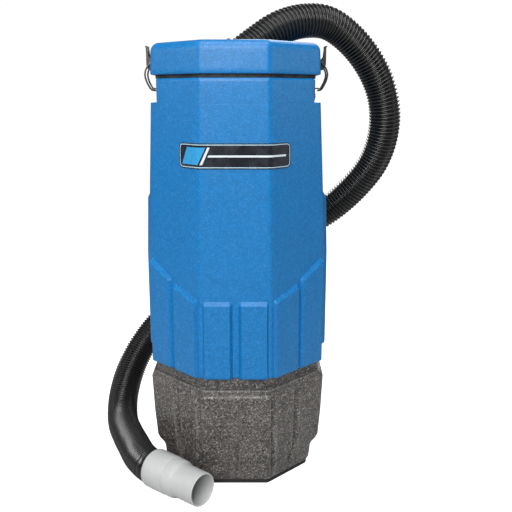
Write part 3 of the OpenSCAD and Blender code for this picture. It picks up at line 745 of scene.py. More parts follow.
def tank_push(face, s, length, z):
    """Height of the raised panels and side wings at one point of the tank's wall."""
    p = tank()
    rise, h = p.panel_rise, p.body_top - p.seam
    zp = p.seam + 0.272 * h
    e = 3.2 * MM

    def under(top):
        return 1 - smoothstep(z, top - e, top + 0.4 * MM)

    if face == 7:        # front: two panels beside the middle
        x = s - length / 2
        return rise * max(plateau(x, .0040, .0422, e), plateau(-x, .0040, .0422, e)) * under(zp)
    if face in (0, 6):   # slanting fronts: two panels each, with rising tops
        fr = s / length if face == 0 else 1 - s / length
        a = plateau(fr, 0.012, 0.492, e / length) * under(zp + .015 * fr / 0.485)
        b = plateau(fr, 0.538, 0.995, e / length) * under(zp + .021 + .023 * (fr - 0.545) / 0.445)
        return rise * max(a, b)
    if face in (1, 5):   # sides: one wing
        f, b, w, fh, bh, _ = tank_at(z)
        y0, y1 = w - f - fh, b - w + bh
        y = y0 + s if face == 1 else y1 - s
        top = p.seam + 0.62 * h
        across = smoothstep(y, -.017, -.007) * (1 - smoothstep(y, .030, min(.0385, y1 - .001)))
        upward = smoothstep(z, p.seam + .009, p.seam + .014) * (1 - smoothstep(z, top - .013, top + .001))
        return .0068 * across * upward
    return 0.0


def tank_heights():
    """(height, inset in millimetres) of the tank's rings: close at the seam, panel tops and pockets."""
    p = tank()
    top, pocket = p.body_top, p.body_top - POCKET
    zs = [(p.seam, 2.5), (p.seam + .0004, 1.5), (p.seam + .0012, .7), (p.seam + .0024, .2)]
    z = p.seam + .0036
    while z < top - .0036:
        zs.append((z, 0.0))
        if z < p.seam + .150:
            z += .0024
        elif p.seam + .212 < z < p.seam + .236 or abs(z - pocket) < .006:
            z += .0022
        else:
            z += .006
    zs = [q for q in zs if abs(q[0] - pocket) > .0011]
    zs += [(pocket - .0006, 0.0), (pocket - .0001, 0.05), (pocket + .0001, 0.0), (pocket + .0008, 0.0)]
    zs += [(top - .0030, 0.05), (top - .0016, .5), (top - .0006, 1.2), (top, 2.2)]
    return sorted(zs)


class VAC_OT_tank(bpy.types.Operator):
    """Tank shell: eight faces, raised lower panels, side wings, latch pockets and a hollow inside."""
    bl_idname = "vac.tank"
    bl_label = "Tank shell"

    def execute(self, context):
        p = tank()
        top = p.body_top
        rings = []
        flat = p.half_width - 15.0 * MM    # latch pockets: the sides are cut back to here
        for z, t in tank_heights():
            pts = rippled(section(inset(tank_at(z), t * MM), z, tank_push), p.ripple)
            if z > top - POCKET:
                pts = [(max(-lim, min(lim, x)), y, q) for x, y, q, lim in
                       ((x, y, q, flat if abs(y) < .0155 else flat - .0024) for x, y, q in pts)]
            rings.append(pts)
        mouth, neck = inset(tank_at(top), RIM_WALL), tank_at(top - .14)
        belly, floor = tank_at(p.seam + .145), tank_at(p.seam)
        for o, t, z in ((mouth, 0, top), (mouth, 0, top - .013), (mouth, 0, top - .026),
                        (mouth, .005, top - .026), (mouth, .005, top - .036), (neck, .007, top - .060),
                        (neck, WALL, top - .14), (belly, WALL, p.seam + .145), (floor, WALL, p.seam + .007),
                        (floor, .007, p.seam + .004)):
            rings.append(section(inset(o, t) if t else o, z))
        ob = loft("tank_shell", rings, smooth=28)
        finish_with(ob, "blue", "tank")
        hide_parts("body_shell")
        return {"FINISHED"}


def port_axis():
    """Where the hose enters the lid, and the direction in which it leaves."""
    return Vector((.006, .020, tank().total - .011)), Vector((.78, .2, .59)).normalized()


class VAC_OT_lid(bpy.types.Operator):
    """Lid: rounded eight-sided cap with a spigot, latch flats and a sunk port for the hose."""
    bl_idname = "vac.lid"
    bl_label = "Lid"

    def execute(self, context):
        p = tank()
        top = p.total
        z0 = top - .0385                   # lower edge
        low_round, top_round = .0016, .011
        lo = (p.front, p.rear, p.half_width - .0088, .042, .042, 10 * MM)
        hi = (p.front - .001, p.rear - .001, p.half_width - .0100, .0416, .0416, 10 * MM)
        mouth = inset((p.front, p.rear, p.half_width - .011, .042, .042, 9 * MM), RIM_WALL)
        spigot = inset(mouth, .001)
        rings = [section(inset(spigot, .004), z0 + .004), section(inset(spigot, .004), z0 - .013),
                 section(inset(spigot, .0034), z0 - .014), section(inset(spigot, .0006), z0 - .014),
                 section(spigot, z0 - .0132), section(spigot, z0), section(inset(lo, .0030), z0)]
        for a in (90, 60, 30, 0):
            t = math.radians(a)
            rings.append(rippled(section(inset(lo, low_round * (1 - math.cos(t)) + .0002),
                                         z0 + low_round * (1 - math.sin(t))), p.ripple))
        n = 7
        zf = top - top_round
        for i in range(1, n):
            rings.append(rippled(section(mix(lo, hi, i / n), z0 + low_round + (zf - z0 - low_round) * i / n),
                                 p.ripple))
        for i in range(9):
            t = math.radians(90 * i / 8)
            rings.append(rippled(section(inset(hi, top_round * (1 - math.cos(t))),
                                         zf + top_round * math.sin(t)), p.ripple))
        rings += [section(inset(hi, t), top) for t in (.016, .024, .036, .052)]
        ob = loft("lid_cap", rings, smooth=30)
        a, d = port_axis()
        well = turned("well", a - d * .022, d, [(0, .022), (0, .0255), (.0015, .027), (.112, .027),
                                                (.112, .022)], n=72, closed=False)
        flat, past = p.half_width - .0125, .14    # latch plates lie on flats; the cutters reach past the lid
        flats = [block("flat", (x0, -.0145, z0 + .0025), (x1, .0145, z0 + .0325))
                 for x0, x1 in ((flat, past), (-past, -flat))]
        ob = cut(ob, well, *flats)
        shade(ob, 30)
        b = ob.modifiers.new("edge", "BEVEL")
        b.width, b.segments, b.limit_method, b.angle_limit = .0006, 2, "ANGLE", math.radians(50)
        finish_with(ob, "blue", "lid")
        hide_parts("lid_shell")
        return {"FINISHED"}


# ---------------------------------------------------------------- base
def base_level(w, f, b):
    """Section of the base: millimetres past the tank's half width, front and rear."""
    p = tank()
    return (p.front + f * MM, p.rear + b * MM, p.half_width + w * MM, .042, .043, 9 * MM)


# height, offsets in millimetres (side, front, rear), depth of the flutes in millimetres
BASE_LEVELS = (
    (.0060, -20.0, -15.0, -2.0, .3), (.0072, -18.6, -13.6, -.6, .8), (.0100, -16.2, -12.2, 1.8, 1.6),
    (.0180, -15.0, -9.6, 2.8, 3.8), (.0300, -14.0, -7.0, 3.0, 4.1), (.0345, -11.5, -5.6, 3.0, 4.1),
    (.0385, -6.0, -3.4, 3.0, 4.1), (.0430, -3.0, -2.0, 3.0, 4.1), (.0600, -1.6, -.4, 3.0, 4.1),
    (.0806, 0.0, 2.0, 3.0, 4.1), (.1050, 1.1, 3.4, 3.0, 4.1), (.1225, 1.9, 4.5, 3.0, 3.8),
    (.1268, 2.1, 4.7, 3.0, 3.0), (.1296, 2.3, 5.0, 3.0, 1.0), (.1312, 2.2, 4.8, 3.0, .3),
    (.1330, 1.0, 3.6, 1.9, 0), (.1340, -.3, 2.3, 1.1, 0), (.1352, -.6, 2.0, 1.0, 0),
    (.1388, -.6, 2.0, 1.0, 0), (.1398, -1.2, 1.4, .5, 0), (.1402, -4.4, -4.2, -2.6, 0),
    (.1410, -5.0, -5.0, -3.0, 0), (.1550, -5.0, -5.0, -3.0, 0))
# flutes of each face: (place as a share of its length, half width); the rear face has none
FLUTES = {0: ((.012, .0042), (.5, .0046)), 6: ((.988, .0042), (.5, .0046)), 7: ((.5, .0030),), 3: ()}


def base_at(z):
    """The base's level at a height, between those of the list."""
    for a, b in zip(BASE_LEVELS, BASE_LEVELS[1:]):
        if z <= b[0]:
            return mix(a, b, (z - a[0]) / (b[0] - a[0]))
    return BASE_LEVELS[-1]


def base_push(face, s, length, z):
    """Sunk flutes with a low rib on each side, at one point of the base's wall."""
    depth = base_at(z)[4] * MM * (.45 if face == 7 else 1.0)
    d = 0.0
    for place, half in FLUTES.get(face, ((.5, .0042),)) if depth > 0 else ():
        x = abs(s - max(.0075, min(length - .0075, place * length)))
        groove = 1 - smoothstep(x, half * .25, half)
        rib = plateau(x, half * .9, half * 2.3, half * .5) * .28
        d += (rib - groove) * depth
    return d


class VAC_OT_base(bpy.types.Operator):
    """Motor base: stepped foot, fluted granite walls, rim ledge and the neck under the tank."""
    bl_idname = "vac.base"
    bl_label = "Motor base"

    def execute(self, context):
        h = tank().seam
        zs = []
        for (a, *_), (b, *_) in zip(BASE_LEVELS, BASE_LEVELS[1:]):
            k = max(1, int(round((b - a) / .0028)))
            zs += [a + (b - a) * i / k for i in range(k)]
        zs.append(BASE_LEVELS[-1][0])
        rings = []
        for z in zs:
            _, side, front, rear, _ = base_at(z)
            rings.append(rippled(section(base_level(side, front, rear), z, base_push), .00025, 22.0, 5.0))
        neck = inset(base_level(-5, -5, -3), WALL)
        for o, t, z in ((neck, 0, h), (neck, 0, h - .005), (neck, .008, h - .005), (neck, .008, h - .009),
                        (neck, 0, h - .017), (base_level(-6, -4, 3), .006, h - .026),
                        (base_level(-7, -4, 3), .007, .0465), (base_level(-16, -12, 3), .007, .028),
                        (base_level(-18, -13, 0), .006, .010)):
            rings.append(section(inset(o, t) if t else o, z))
        ob = loft("motor_base", rings, smooth=32)
        r = tank().rear
        reach = .015                       # how far the cutters reach to each side of the rear wall
        tools = [block("vent_cut", (-.0345, r - reach, .0455), (.0345, r + reach, .0945)),
                 block("switch_cut", (-.0312, r - reach, .1078), (-.0128, r + reach, .1242)),
                 turned("gland_cut", (.022, r - reach, .116), (0, 1, 0),
                        [(0, .0083), (2 * reach, .0083)], n=40, closed=False)]
        ob = cut(ob, *tools)
        shade(ob, 32)
        finish_with(ob, "granite", "tank")
        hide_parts("base_shell")
        return {"FINISHED"}


class VAC_OT_foot(bpy.types.Operator):
    """Rubber foot under the base, with a rounded sole and shallow drain grooves."""
    bl_idname = "vac.foot"
    bl_label = "Rubber foot"

    def execute(self, context):
        o = inset(base_level(-18, -14, -1), .001)
        rings = [section(inset(o, .020), .0), section(inset(o, .0022), .0), section(inset(o, .0009), .0005),
                 section(inset(o, .0002), .0016)]
        rings += [section(inset(o, .0007 if i % 2 else 0.0), .0024 + i * .0009) for i in range(4)]
        rings += [section(o, .0060), section(inset(o, .012), .0060)]
        ob = loft("rubber_foot", rings, smooth=30)
        finish_with(ob, "rubber", "tank")
        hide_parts("base_foot")
        return {"FINISHED"}


# ---------------------------------------------------------------- hose and cuff
CUFF_A = Vector((-.1084, -.0978, .02575))        # rear end of the cuff, on its axis
CUFF_D = Vector((72, -59, 0)).normalized()       # the way that the cuff points
# millimetres: over the lid, down the right side, across behind the tank, down the left side, to the cuff
HOSE_POINTS = ((55, 34, 592), (91, 49, 603), (128, 64, 600), (168, 80, 571), (199, 94, 528), (213, 104, 480),
               (210, 118, 430), (190, 135, 385), (142, 155, 332), (70, 167, 285), (0, 171, 238),
               (-70, 168, 190), (-126, 157, 148), (-158, 142, 110), (-176, 118, 75), (-182, 90, 49),
               (-180, 61, 33), (-173, 31, 26), (-161, -1, 24.5), (-147, -34, 24.5), (-133, -66, 25))
CLOSE_UP = (0.34, 0.72)    # shares of the hose's length between which its ribs close up
PER_RIB, AROUND = 7, 32    # rings to each rib, points to each ring


def hose_line(stations_for):
    """Points of the hose's centreline from the port to inside the cuff, at the stations asked for."""
    a, d = port_axis()
    pts = [a - d * .018, a, a + d * .020] + [Vector(p) * MM for p in HOSE_POINTS]
    pts += [CUFF_A - CUFF_D * .012, CUFF_A, CUFF_A + CUFF_D * .014]
    fine = []
    for i in range(len(pts) - 1):
        p0, p1, p2, p3 = pts[max(i - 1, 0)], pts[i], pts[i + 1], pts[min(i + 2, len(pts) - 1)]
        for j in range(24):
            t = j / 24
            fine.append(0.5 * (2 * p1 + (p2 - p0) * t + (2 * p0 - 5 * p1 + 4 * p2 - p3) * t * t
                               + (3 * p1 - 3 * p2 + p3 - p0) * t ** 3))
    fine.append(pts[-1])
    arr = np.array([tuple(p) for p in fine])
    seg = np.linalg.norm(np.diff(arr, axis=0), axis=1)
    run = np.concatenate([[0], np.cumsum(seg)])
    stations = stations_for(run[-1])
    out = np.stack([np.interp(stations, run, arr[:, k]) for k in range(3)], axis=1)
    return stations, out, run[-1]


def moving_frames(pts):
    """Direction, side and up at each point, turned as little as possible from point to point."""
    t = np.gradient(pts, axis=0)
    t /= np.linalg.norm(t, axis=1)[:, None]
    side = np.zeros_like(t)
    s = np.array([0.0, 1.0, 0.0])
    for i in range(len(pts)):
        s = s - t[i] * (s @ t[i])
        s /= np.linalg.norm(s)
        side[i] = s
    return t, side, np.cross(t, side)


class VAC_OT_hose(bpy.types.Operator):
    """Ribbed stretch hose along its line: the rib spacing is wide over the top and close near the floor."""
    bl_idname = "vac.hose"
    bl_label = "Ribbed hose"

    def execute(self, context):
        h = hose()
        phases = []

        def stations(total):
            """A station for each ring, and its place within its rib."""
            s, phase, out = 0.0, 0.0, []
            while s < total:
                out.append(s)
                phases.append(phase)
                u = smoothstep(s / total, *CLOSE_UP)
                s += (h.pitch_wide * (1 - u) + h.pitch_close * u) / PER_RIB
                phase += 1 / PER_RIB
            return np.array(out)

        st, pts, total = hose_line(stations)
        _, side, up = moving_frames(pts)
        turns = [2 * math.pi * j / AROUND for j in range(AROUND)]
        rings, ribs = [], []
        for i, s in enumerate(st):
            u = smoothstep(s / total, *CLOSE_UP)
            depth = h.tooth * (1 - u) + h.tooth * .80 * u
            ends = smoothstep(s, .010, .015) * (1 - smoothstep(s, total - .0142, total - .0105))
            ring = []
            for j, q in enumerate(turns):
                w = (0.5 + 0.5 * math.cos(2 * math.pi * (phases[i] - j / AROUND))) ** 1.15
                r = h.radius - depth * (1 - w) * ends - .0002 * (1 - ends)
                ring.append(pts[i] + r * (math.cos(q) * side[i] + math.sin(q) * up[i]))
                ribs.append(w * ends)
            rings.append(ring)
        bore = h.radius - .0036
        for back in (1, 12, 30):           # the open end, seen through the cuff
            i = len(st) - back
            rings.append([pts[i] + bore * (math.cos(q) * side[i] + math.sin(q) * up[i]) for q in turns])
            ribs += [0.0] * AROUND
        ob = loft("ribbed_hose", rings, smooth=None)
        # the rib value also sets the hose material's painted shade in the valleys and painted highlight on
        # the crests
        ob.data.attributes.new("rib", "FLOAT", "POINT").data.foreach_set("value", ribs)
        finish_with(ob, "hose", "lid")
        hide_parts("hose")
        line = pts[::12].tolist()
        if np.linalg.norm(pts[-1] - np.array(line[-1])) > 1e-6:
            line.append(pts[-1].tolist())
        return {"FINISHED"}


# (distance from the rear end, radius)
CUFF_PROFILE = (
    # rear lip and collar
    (.0000, .0243), (.0002, .0247), (.0008, .02505), (.0018, .02522), (.0034, .02525), (.0200, .02525),
    (.0322, .02518), (.0332, .02506), (.0338, .02470),
    # parting groove and the ring after it
    (.0341, .02415), (.0348, .02400), (.0354, .02412), (.0358, .02448), (.0366, .02468), (.0380, .02474),
    # shoulder
    (.0440, .02472), (.0464, .02455), (.0480, .02420), (.0490, .02370), (.0498, .02300), (.0505, .02235),
    (.0513, .02195), (.0528, .02172), (.0560, .02162),
    # tube and rounded mouth
    (.0740, .02155), (.0850, .0215), (.0862, .02135), (.0869, .02090), (.0871, .02020), (.0868, .01955),
    (.0862, .01925), (.0852, .01908), (.0836, .01902),
    # bore, and the wider seat of the hose
    (.0500, .0190), (.0172, .0190), (.0170, .0196), (.0170, .0236), (.0168, .02415), (.0100, .02415),
    (.0006, .02415), (.0001, .0240))


class VAC_OT_cuff(bpy.types.Operator):
    """Grey wand cuff: wide collar with a fine parting ring, rounded shoulder, tube and rounded mouth."""
    bl_idname = "vac.cuff"
    bl_label = "Wand cuff"

    def execute(self, context):
        ob = turned("wand_cuff_grey", CUFF_A, CUFF_D, CUFF_PROFILE, n=96, closed=True, smooth=40)
        finish_with(ob, "cuff", "wand_cuff")
        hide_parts("wand_cuff")
        return {"FINISHED"}


# ---------------------------------------------------------------- label
def on_front(s, z, g):
    """Point on the tank at distance s along its outline from the front's middle, lifted by g."""
    f, _, _, fh, _, r = tank_at(z)
    flat, arc = fh - r * T8, r * math.pi / 4    # flat part of the front face, and the rounded corner
    a = abs(s)
    if a <= flat:
        x, y, nx, ny = a, -f, 0.0, -1.0
    elif a <= flat + arc:
        q = (a - flat) / r
        nx, ny = math.sin(q), -math.cos(q)
        x, y = flat + r * nx, -f + r + r * ny
    else:
        k = a - fh + r * T8 - arc + r * T8      # way along the slanting face, from its sharp corner
        nx, ny = math.sqrt(.5), -math.sqrt(.5)
        x, y = fh + k * math.sqrt(.5), -f + k * math.sqrt(.5)
    sign = 1 if s >= 0 else -1
    return ((x + nx * g) * sign, y + ny * g, z)


class VAC_OT_label(bpy.types.Operator):
    """Plain film label that bends round the two front corners of the tank. It carries no lettering."""
    bl_idname = "vac.label"
    bl_label = "Front label"

    def execute(self, context):
        p = tank()
        h = p.body_top - p.seam
        z0, z1 = p.seam + .716 * h, p.seam + .797 * h
        half, r = .0765, .0065                    # half width, and radius of the label's corners
        rows, n_mid, n_round = 22, 132, 8
        turn = [r * (1 - math.cos(math.pi / 2 * i / n_round)) for i in range(n_round + 1)]
        ss = [-half + t for t in turn]
        ss += [-half + r + (2 * half - 2 * r) * i / n_mid for i in range(1, n_mid)]
        ss += [half - t for t in reversed(turn)]
        outer, inner, across, upward, margin = [], [], [], [], []
        for s in ss:
            dx = max(0.0, r - (half - abs(s)))
            sink = r - math.sqrt(max(0.0, r * r - dx * dx))
            a, b = z0 + sink, z1 - sink
            for j in range(rows + 1):
                z = a + (b - a) * j / rows
                outer.append(on_front(s, z, .0008))
                inner.append(on_front(s, z, .0001))
                across.append((s + half) / (2 * half))
                upward.append((z - z0) / (z1 - z0))
                ex, ez = half - abs(s), min(z - z0, z1 - z)
                margin.append(r - math.hypot(r - ex, r - ez) if ex < r and ez < r else min(ex, ez))
        n, w, m = len(outer), rows + 1, len(ss)
        faces = []
        for i in range(m - 1):
            for j in range(rows):
                a, b, c, d = i * w + j, (i + 1) * w + j, (i + 1) * w + j + 1, i * w + j + 1
                faces += [(a, b, c, d), (n + a, n + d, n + c, n + b)]
        rim = [i * w for i in range(m)] + [(m - 1) * w + j for j in range(1, w)]
        rim += [i * w + rows for i in range(m - 2, -1, -1)] + list(range(rows - 1, 0, -1))
        faces += [(b, a, n + a, n + b) for a, b in zip(rim, rim[1:] + rim[:1])]
        ob = make_object("front_label_film", outer + inner, faces, 40)
        for key, values in (("across", across), ("upward", upward), ("margin", margin)):
            ob.data.attributes.new(key, "FLOAT", "POINT").data.foreach_set("value", values + values)
        finish_with(ob, "label", "tank")
        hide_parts("front_label")
        return {"FINISHED"}


# ---------------------------------------------------------------- pads
def slab_rings(cx, cz, hx, hz, r, levels, n=10):
    """Rounded-rectangle rings in the XZ plane; levels are (y, inset)."""
    rings = []
    for y, e in levels:
        ring = []
        rr = max(.001, r - e * .4)
        for sx, sz, a0 in CORNERS:
            for j in range(n + 1):
                a = math.radians(a0 + 90 * j / n)
                ring.append((cx + sx * (hx - e - rr) + rr * math.cos(a), y,
                             cz + sz * (hz - e - rr) + rr * math.sin(a)))
        rings.append(ring)
    return rings


def places(mesh):
    """The places of a mesh's vertices."""
    return np.array([v.co for v in mesh.vertices])


def set_places(ob, co):
    """Moves the vertices of an object's mesh."""
    ob.data.vertices.foreach_set("co", co.astype(np.float32).ravel())
    ob.data.update()


def remade(ob):
    """The object with its modifiers made into its mesh, under its own name."""
    name = ob.name
    bpy.context.view_layer.update()
    ob.name = name + "_before"
    return plain_copy(ob, name)


def blown_up(ob, cap, frames=20):
    """Vertex places after air pressure has rounded the piece as cloth, each moved by no more than cap."""
    rest = places(ob.data)
    cl = ob.modifiers.new("cloth", "CLOTH")
    cl.settings.quality = 4
    cl.settings.mass = .25
    cl.settings.tension_stiffness = cl.settings.compression_stiffness = 12
    cl.settings.bending_stiffness = 1.2
    cl.settings.use_pressure = True
    cl.settings.uniform_pressure_force = soft().pressure
    cl.settings.effector_weights.gravity = 0
    cl.collision_settings.use_collision = False
    cl.point_cache.frame_start, cl.point_cache.frame_end = 1, frames
    scene = bpy.context.scene
    for f in range(1, frames + 1):
        scene.frame_set(f)
    move = places(ob.evaluated_get(bpy.context.evaluated_depsgraph_get()).data) - rest
    ob.modifiers.clear()
    scene.frame_set(1)
    size = np.linalg.norm(move, axis=1)[:, None]
    return rest + move * np.minimum(1.0, cap / np.maximum(size, 1e-9))


def stuffed(name, cx, cz, hx, hz, r, y0, y1, cap, channels=()):
    """A padded piece: a slab that is remeshed, blown up as cloth within a cap, then sewn with channels.

    channels are (axis, place, depth, half width): grooves pressed into the face that looks to +Y."""
    t = y1 - y0
    e = min(.006, t * .35)                 # rounding of the slab's edges
    face = y0 + t * .72                    # its face before it is blown up
    ob = loft(name, slab_rings(cx, cz, hx - .002, hz - .002, r, [
        (face, e), (face - e * .35, e * .35), (face - e, 0), (y0 + e * .6, 0),
        (y0 + e * .2, e * .35), (y0, e)]), smooth=None)
    outward(ob)
    rm = ob.modifiers.new("remesh", "REMESH")
    rm.mode, rm.voxel_size = "VOXEL", soft().voxel
    ob = remade(ob)
    set_places(ob, blown_up(ob, cap))
    sub = ob.modifiers.new("round", "SUBSURF")
    sub.levels = sub.render_levels = 1
    ob = remade(ob)
    # crown of the face, and sewn channels with small puckers beside them
    co = places(ob.data)
    fx, fz = np.abs(co[:, 0] - cx) / hx, np.abs(co[:, 2] - cz) / hz
    front = np.clip((co[:, 1] - y0) / t, 0, 1)
    crown = (1 - np.clip(fx, 0, 1) ** 4) * (1 - np.clip(fz, 0, 1) ** 4)
    co[:, 1] += front * crown * t * .16
    for axis, place, depth, half in channels:
        cross, along = (co[:, 0], co[:, 2]) if axis == "x" else (co[:, 2], co[:, 0])
        d = cross - place
        groove = np.exp(-((d + .0006 * np.sin(along * 330)) / half) ** 2)
        ridge = np.exp(-((np.abs(d) - half * 2.6) / (half * 1.6)) ** 2)
        pucker = 1 + .25 * np.sin(along * 620)
        inside = np.clip((1 - np.maximum(fx, fz)) * 9, 0, 1)
        co[:, 1] -= front * inside * depth * (groove - ridge * .25 * pucker)
    co[:, 1] = np.clip(co[:, 1], y0, y1 + .0035)
    set_places(ob, co)
    shade(ob, None)
    return ob


def cord_tube(name, pts, r, n=10, closed=True):
    """Round tube along a closed or open list of points."""
    pts = np.array(pts, float)
    if closed:
        t = np.roll(pts, -1, axis=0) - np.roll(pts, 1, axis=0)
    else:
        t = np.gradient(pts, axis=0)
    t /= np.linalg.norm(t, axis=1)[:, None]
    rings = []
    ref = np.array([0.0, 1.0, 0.0])
    for i in range(len(pts)):
        a = ref - t[i] * (ref @ t[i])
        a /= max(np.linalg.norm(a), 1e-9)
        b = np.cross(t[i], a)
        rings.append([pts[i] + r * (math.cos(q) * a + math.sin(q) * b)
                      for q in (2 * math.pi * j / n for j in range(n))])
    return outward(loft(name, rings, closed=closed, smooth=None))


def on_surface(ob, x, z, y_from=.30, lift=.0003):
    """The point where a line from the back of the object, along -Y, meets the piece."""
    hit, at, _, _ = ob.ray_cast(Vector((x, y_from, z)), Vector((0, -1, 0)))
    return (x, at.y + lift, z) if hit else None


def rounded_line(cx, cz, hx, hz, r, n=8):
    """Corner-rounded rectangle as (x, z) points, evenly spaced along the sides."""
    out = []
    for sx, sz, a0 in CORNERS:
        for j in range(n + 1):
            a = math.radians(a0 + 90 * j / n)
            out.append((cx + sx * (hx - r) + r * math.cos(a), cz + sz * (hz - r) + r * math.sin(a)))
    fine = []
    for (x0, z0), (x1, z1) in zip(out, out[1:] + out[:1]):
        k = max(1, int(math.hypot(x1 - x0, z1 - z0) / .006))
        fine += [(x0 + (x1 - x0) * i / k, z0 + (z1 - z0) * i / k) for i in range(k)]
    return fine


# lines to be stitched: body -> list of open or closed lines of points
SEWING = {}


def sew(body, points, closed=False):
    """Keeps a line for the stitches of a body; points that met no surface are left out."""
    pts = [p for p in points if p]
    if len(pts) > 1:
        SEWING.setdefault(body, []).append(pts + pts[:1] if closed else pts)


def stitch_tree():
    """Geometry Nodes: one short thread at each step along every line, turned to follow it."""
    g = bpy.data.node_groups.new("Stitch Row", "GeometryNodeTree")
    g.interface.new_socket(name="Lines", in_out="INPUT", socket_type="NodeSocketGeometry")
    for label, value in (("Spacing", .0055), ("Thread Length", .0036), ("Thread Radius", .00045)):
        g.interface.new_socket(name=label, in_out="INPUT",
                               socket_type="NodeSocketFloat").default_value = value
    g.interface.new_socket(name="Seed", in_out="INPUT", socket_type="NodeSocketInt").default_value = 3
    g.interface.new_socket(name="Material", in_out="INPUT", socket_type="NodeSocketMaterial")
    g.interface.new_socket(name="Stitches", in_out="OUTPUT", socket_type="NodeSocketGeometry")
    N, L = g.nodes.new, g.links.new
    gi, go = N("NodeGroupInput"), N("NodeGroupOutput")
    curve = N("GeometryNodeMeshToCurve")
    L(gi.outputs["Lines"], curve.inputs["Mesh"])
    again = N("GeometryNodeResampleCurve")
    if hasattr(again, "mode"):
        again.mode = "LENGTH"
    else:
        again.inputs["Mode"].default_value = "Length"
    L(curve.outputs[0], again.inputs["Curve"])
    L(gi.outputs["Spacing"], again.inputs["Length"])
    thread = N("GeometryNodeMeshUVSphere")
    thread.inputs["Segments"].default_value = 8
    thread.inputs["Rings"].default_value = 6
    thread.inputs["Radius"].default_value = 1.0
    size = N("ShaderNodeCombineXYZ")
    half = N("ShaderNodeMath")
    half.operation = "MULTIPLY"
    half.inputs[1].default_value = 0.5
    L(gi.outputs["Thread Length"], half.inputs[0])
    L(gi.outputs["Thread Radius"], size.inputs[0])
    L(gi.outputs["Thread Radius"], size.inputs[1])
    L(half.outputs[0], size.inputs[2])
    shape = N("GeometryNodeTransform")
    L(thread.outputs["Mesh"], shape.inputs["Geometry"])
    L(size.outputs[0], shape.inputs["Scale"])
    tangent = N("GeometryNodeInputTangent")
    turn = N("FunctionNodeAlignRotationToVector")
    turn.axis = "Z"
    L(tangent.outputs[0], turn.inputs["Vector"])
    rnd = N("FunctionNodeRandomValue")
    rnd.data_type = "FLOAT"
    floats = [s for s in rnd.inputs if s.type == "VALUE"]
    floats[0].default_value, floats[1].default_value = 0.88, 1.12
    L(gi.outputs["Seed"], rnd.inputs["Seed"])
    put = N("GeometryNodeInstanceOnPoints")
    L(again.outputs[0], put.inputs["Points"])
    L(shape.outputs[0], put.inputs["Instance"])
    L(turn.outputs[0], put.inputs["Rotation"])
    L(next(s for s in rnd.outputs if s.type == "VALUE"), put.inputs["Scale"])
    real = N("GeometryNodeRealizeInstances")
    L(put.outputs[0], real.inputs[0])
    paint = N("GeometryNodeSetMaterial")
    L(real.outputs[0], paint.inputs["Geometry"])
    L(gi.outputs["Material"], paint.inputs["Material"])
    L(paint.outputs[0], go.inputs[0])
    return g


def run_tree(name, lines, tree, **values):
    """Runs a tree over line meshes and returns the result as a plain mesh object."""
    verts, edges = [], []
    for line in lines:
        k = len(verts)
        verts += [tuple(p) for p in line]
        edges += [(k + i, k + i + 1) for i in range(len(line) - 1)]
    me = bpy.data.meshes.new(name + "_lines")
    me.from_pydata(verts, edges, [])
    ob = bpy.data.objects.new(name + "_lines", me)
    bpy.context.scene.collection.objects.link(ob)
    mod = ob.modifiers.new("tree", "NODES")
    mod.node_group = tree
    for item in tree.interface.items_tree:
        if getattr(item, "in_out", "") == "INPUT" and item.name in values:
            mod[item.identifier] = values[item.name]
    bpy.context.view_layer.update()
    return plain_copy(ob, name)


class VAC_OT_pads(bpy.types.Operator):
    """Back pad, shoulder strap pads and belt pad: stuffed, quilted, bound and stitched."""
    bl_idname = "vac.pads"
    bl_label = "Harness pads"

    def execute(self, context):
        quilt = [("x", 0.0, .0055, .0042)] + [("z", z, .0038, .0034) for z in (.285, .330, .375)]
        folds = [("z", z, .0016, .0026) for z in (.330, .386)]
        # node, centre x and z, half width and height, corner, rear face and front face in y, cap, channels
        pads = (("back_pad", 0, .3305, .082, .1195, .024, .110, .128, .007, quilt),
                ("strap_right", .046, .3585, .026, .0855, .016, .128, .139, .005, folds),
                ("strap_left", -.046, .3585, .026, .0855, .016, .128, .139, .005, folds),
                ("belt_pad", 0, .181, .102, .021, .016, .110, .123, .005, [("x", .0, .0012, .003)]))
        for node, cx, cz, hx, hz, r, y0, y1, cap, lines in pads:
            ob = stuffed(node + "_stuffed", cx, cz, hx, hz, r, y0, y1, cap, lines)
            finish_with(ob, "pad", "tank")
            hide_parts(node)
            seam_y, sunk = y0 + (y1 - y0) * .52, .0016
            pipe = [(x, seam_y, z) for x, z in rounded_line(cx, cz, hx - sunk, hz - sunk, r - sunk)]
            edge = cord_tube(node + "_binding", pipe, .0017, 8)
            finish_with(edge, "binding", "tank")
            hem = .0075
            inner = rounded_line(cx, cz, hx - hem, hz - hem, max(r - hem, .004))
            sew("tank", [on_surface(ob, x, z) for x, z in inner], True)
            for axis, place, _, half in lines:
                for off in (-half * 1.7, half * 1.7):
                    if axis == "x":
                        line = [(place + off, cz + hz * .88 * (k / 20 - 1)) for k in range(41)]
                    else:
                        line = [(cx + hx * .86 * (k / 20 - 1), place + off) for k in range(41)]
                    sew("tank", [on_surface(ob, x, z) for x, z in line])
        return {"FINISHED"}


def rounded_path(points, radius, n=6, step=.004):
    """A polyline with its corners rounded and its sides divided."""
    pts = [Vector(p) for p in points]
    out = [pts[0]]
    for a, b, c in zip(pts, pts[1:], pts[2:]):
        u, v = (a - b).normalized(), (c - b).normalized()
        r = min(radius, (a - b).length * .49, (c - b).length * .49)
        p, q = b + u * r, b + v * r
        for k in range(n + 1):
            t = k / n
            out.append(p * (1 - t) ** 2 + b * 2 * t * (1 - t) + q * t * t)
    out.append(pts[-1])
    fine = []
    for a, b in zip(out, out[1:]):
        k = max(1, int((b - a).length / step))
        fine += [a.lerp(b, i / k) for i in range(k)]
    return fine + [out[-1]]


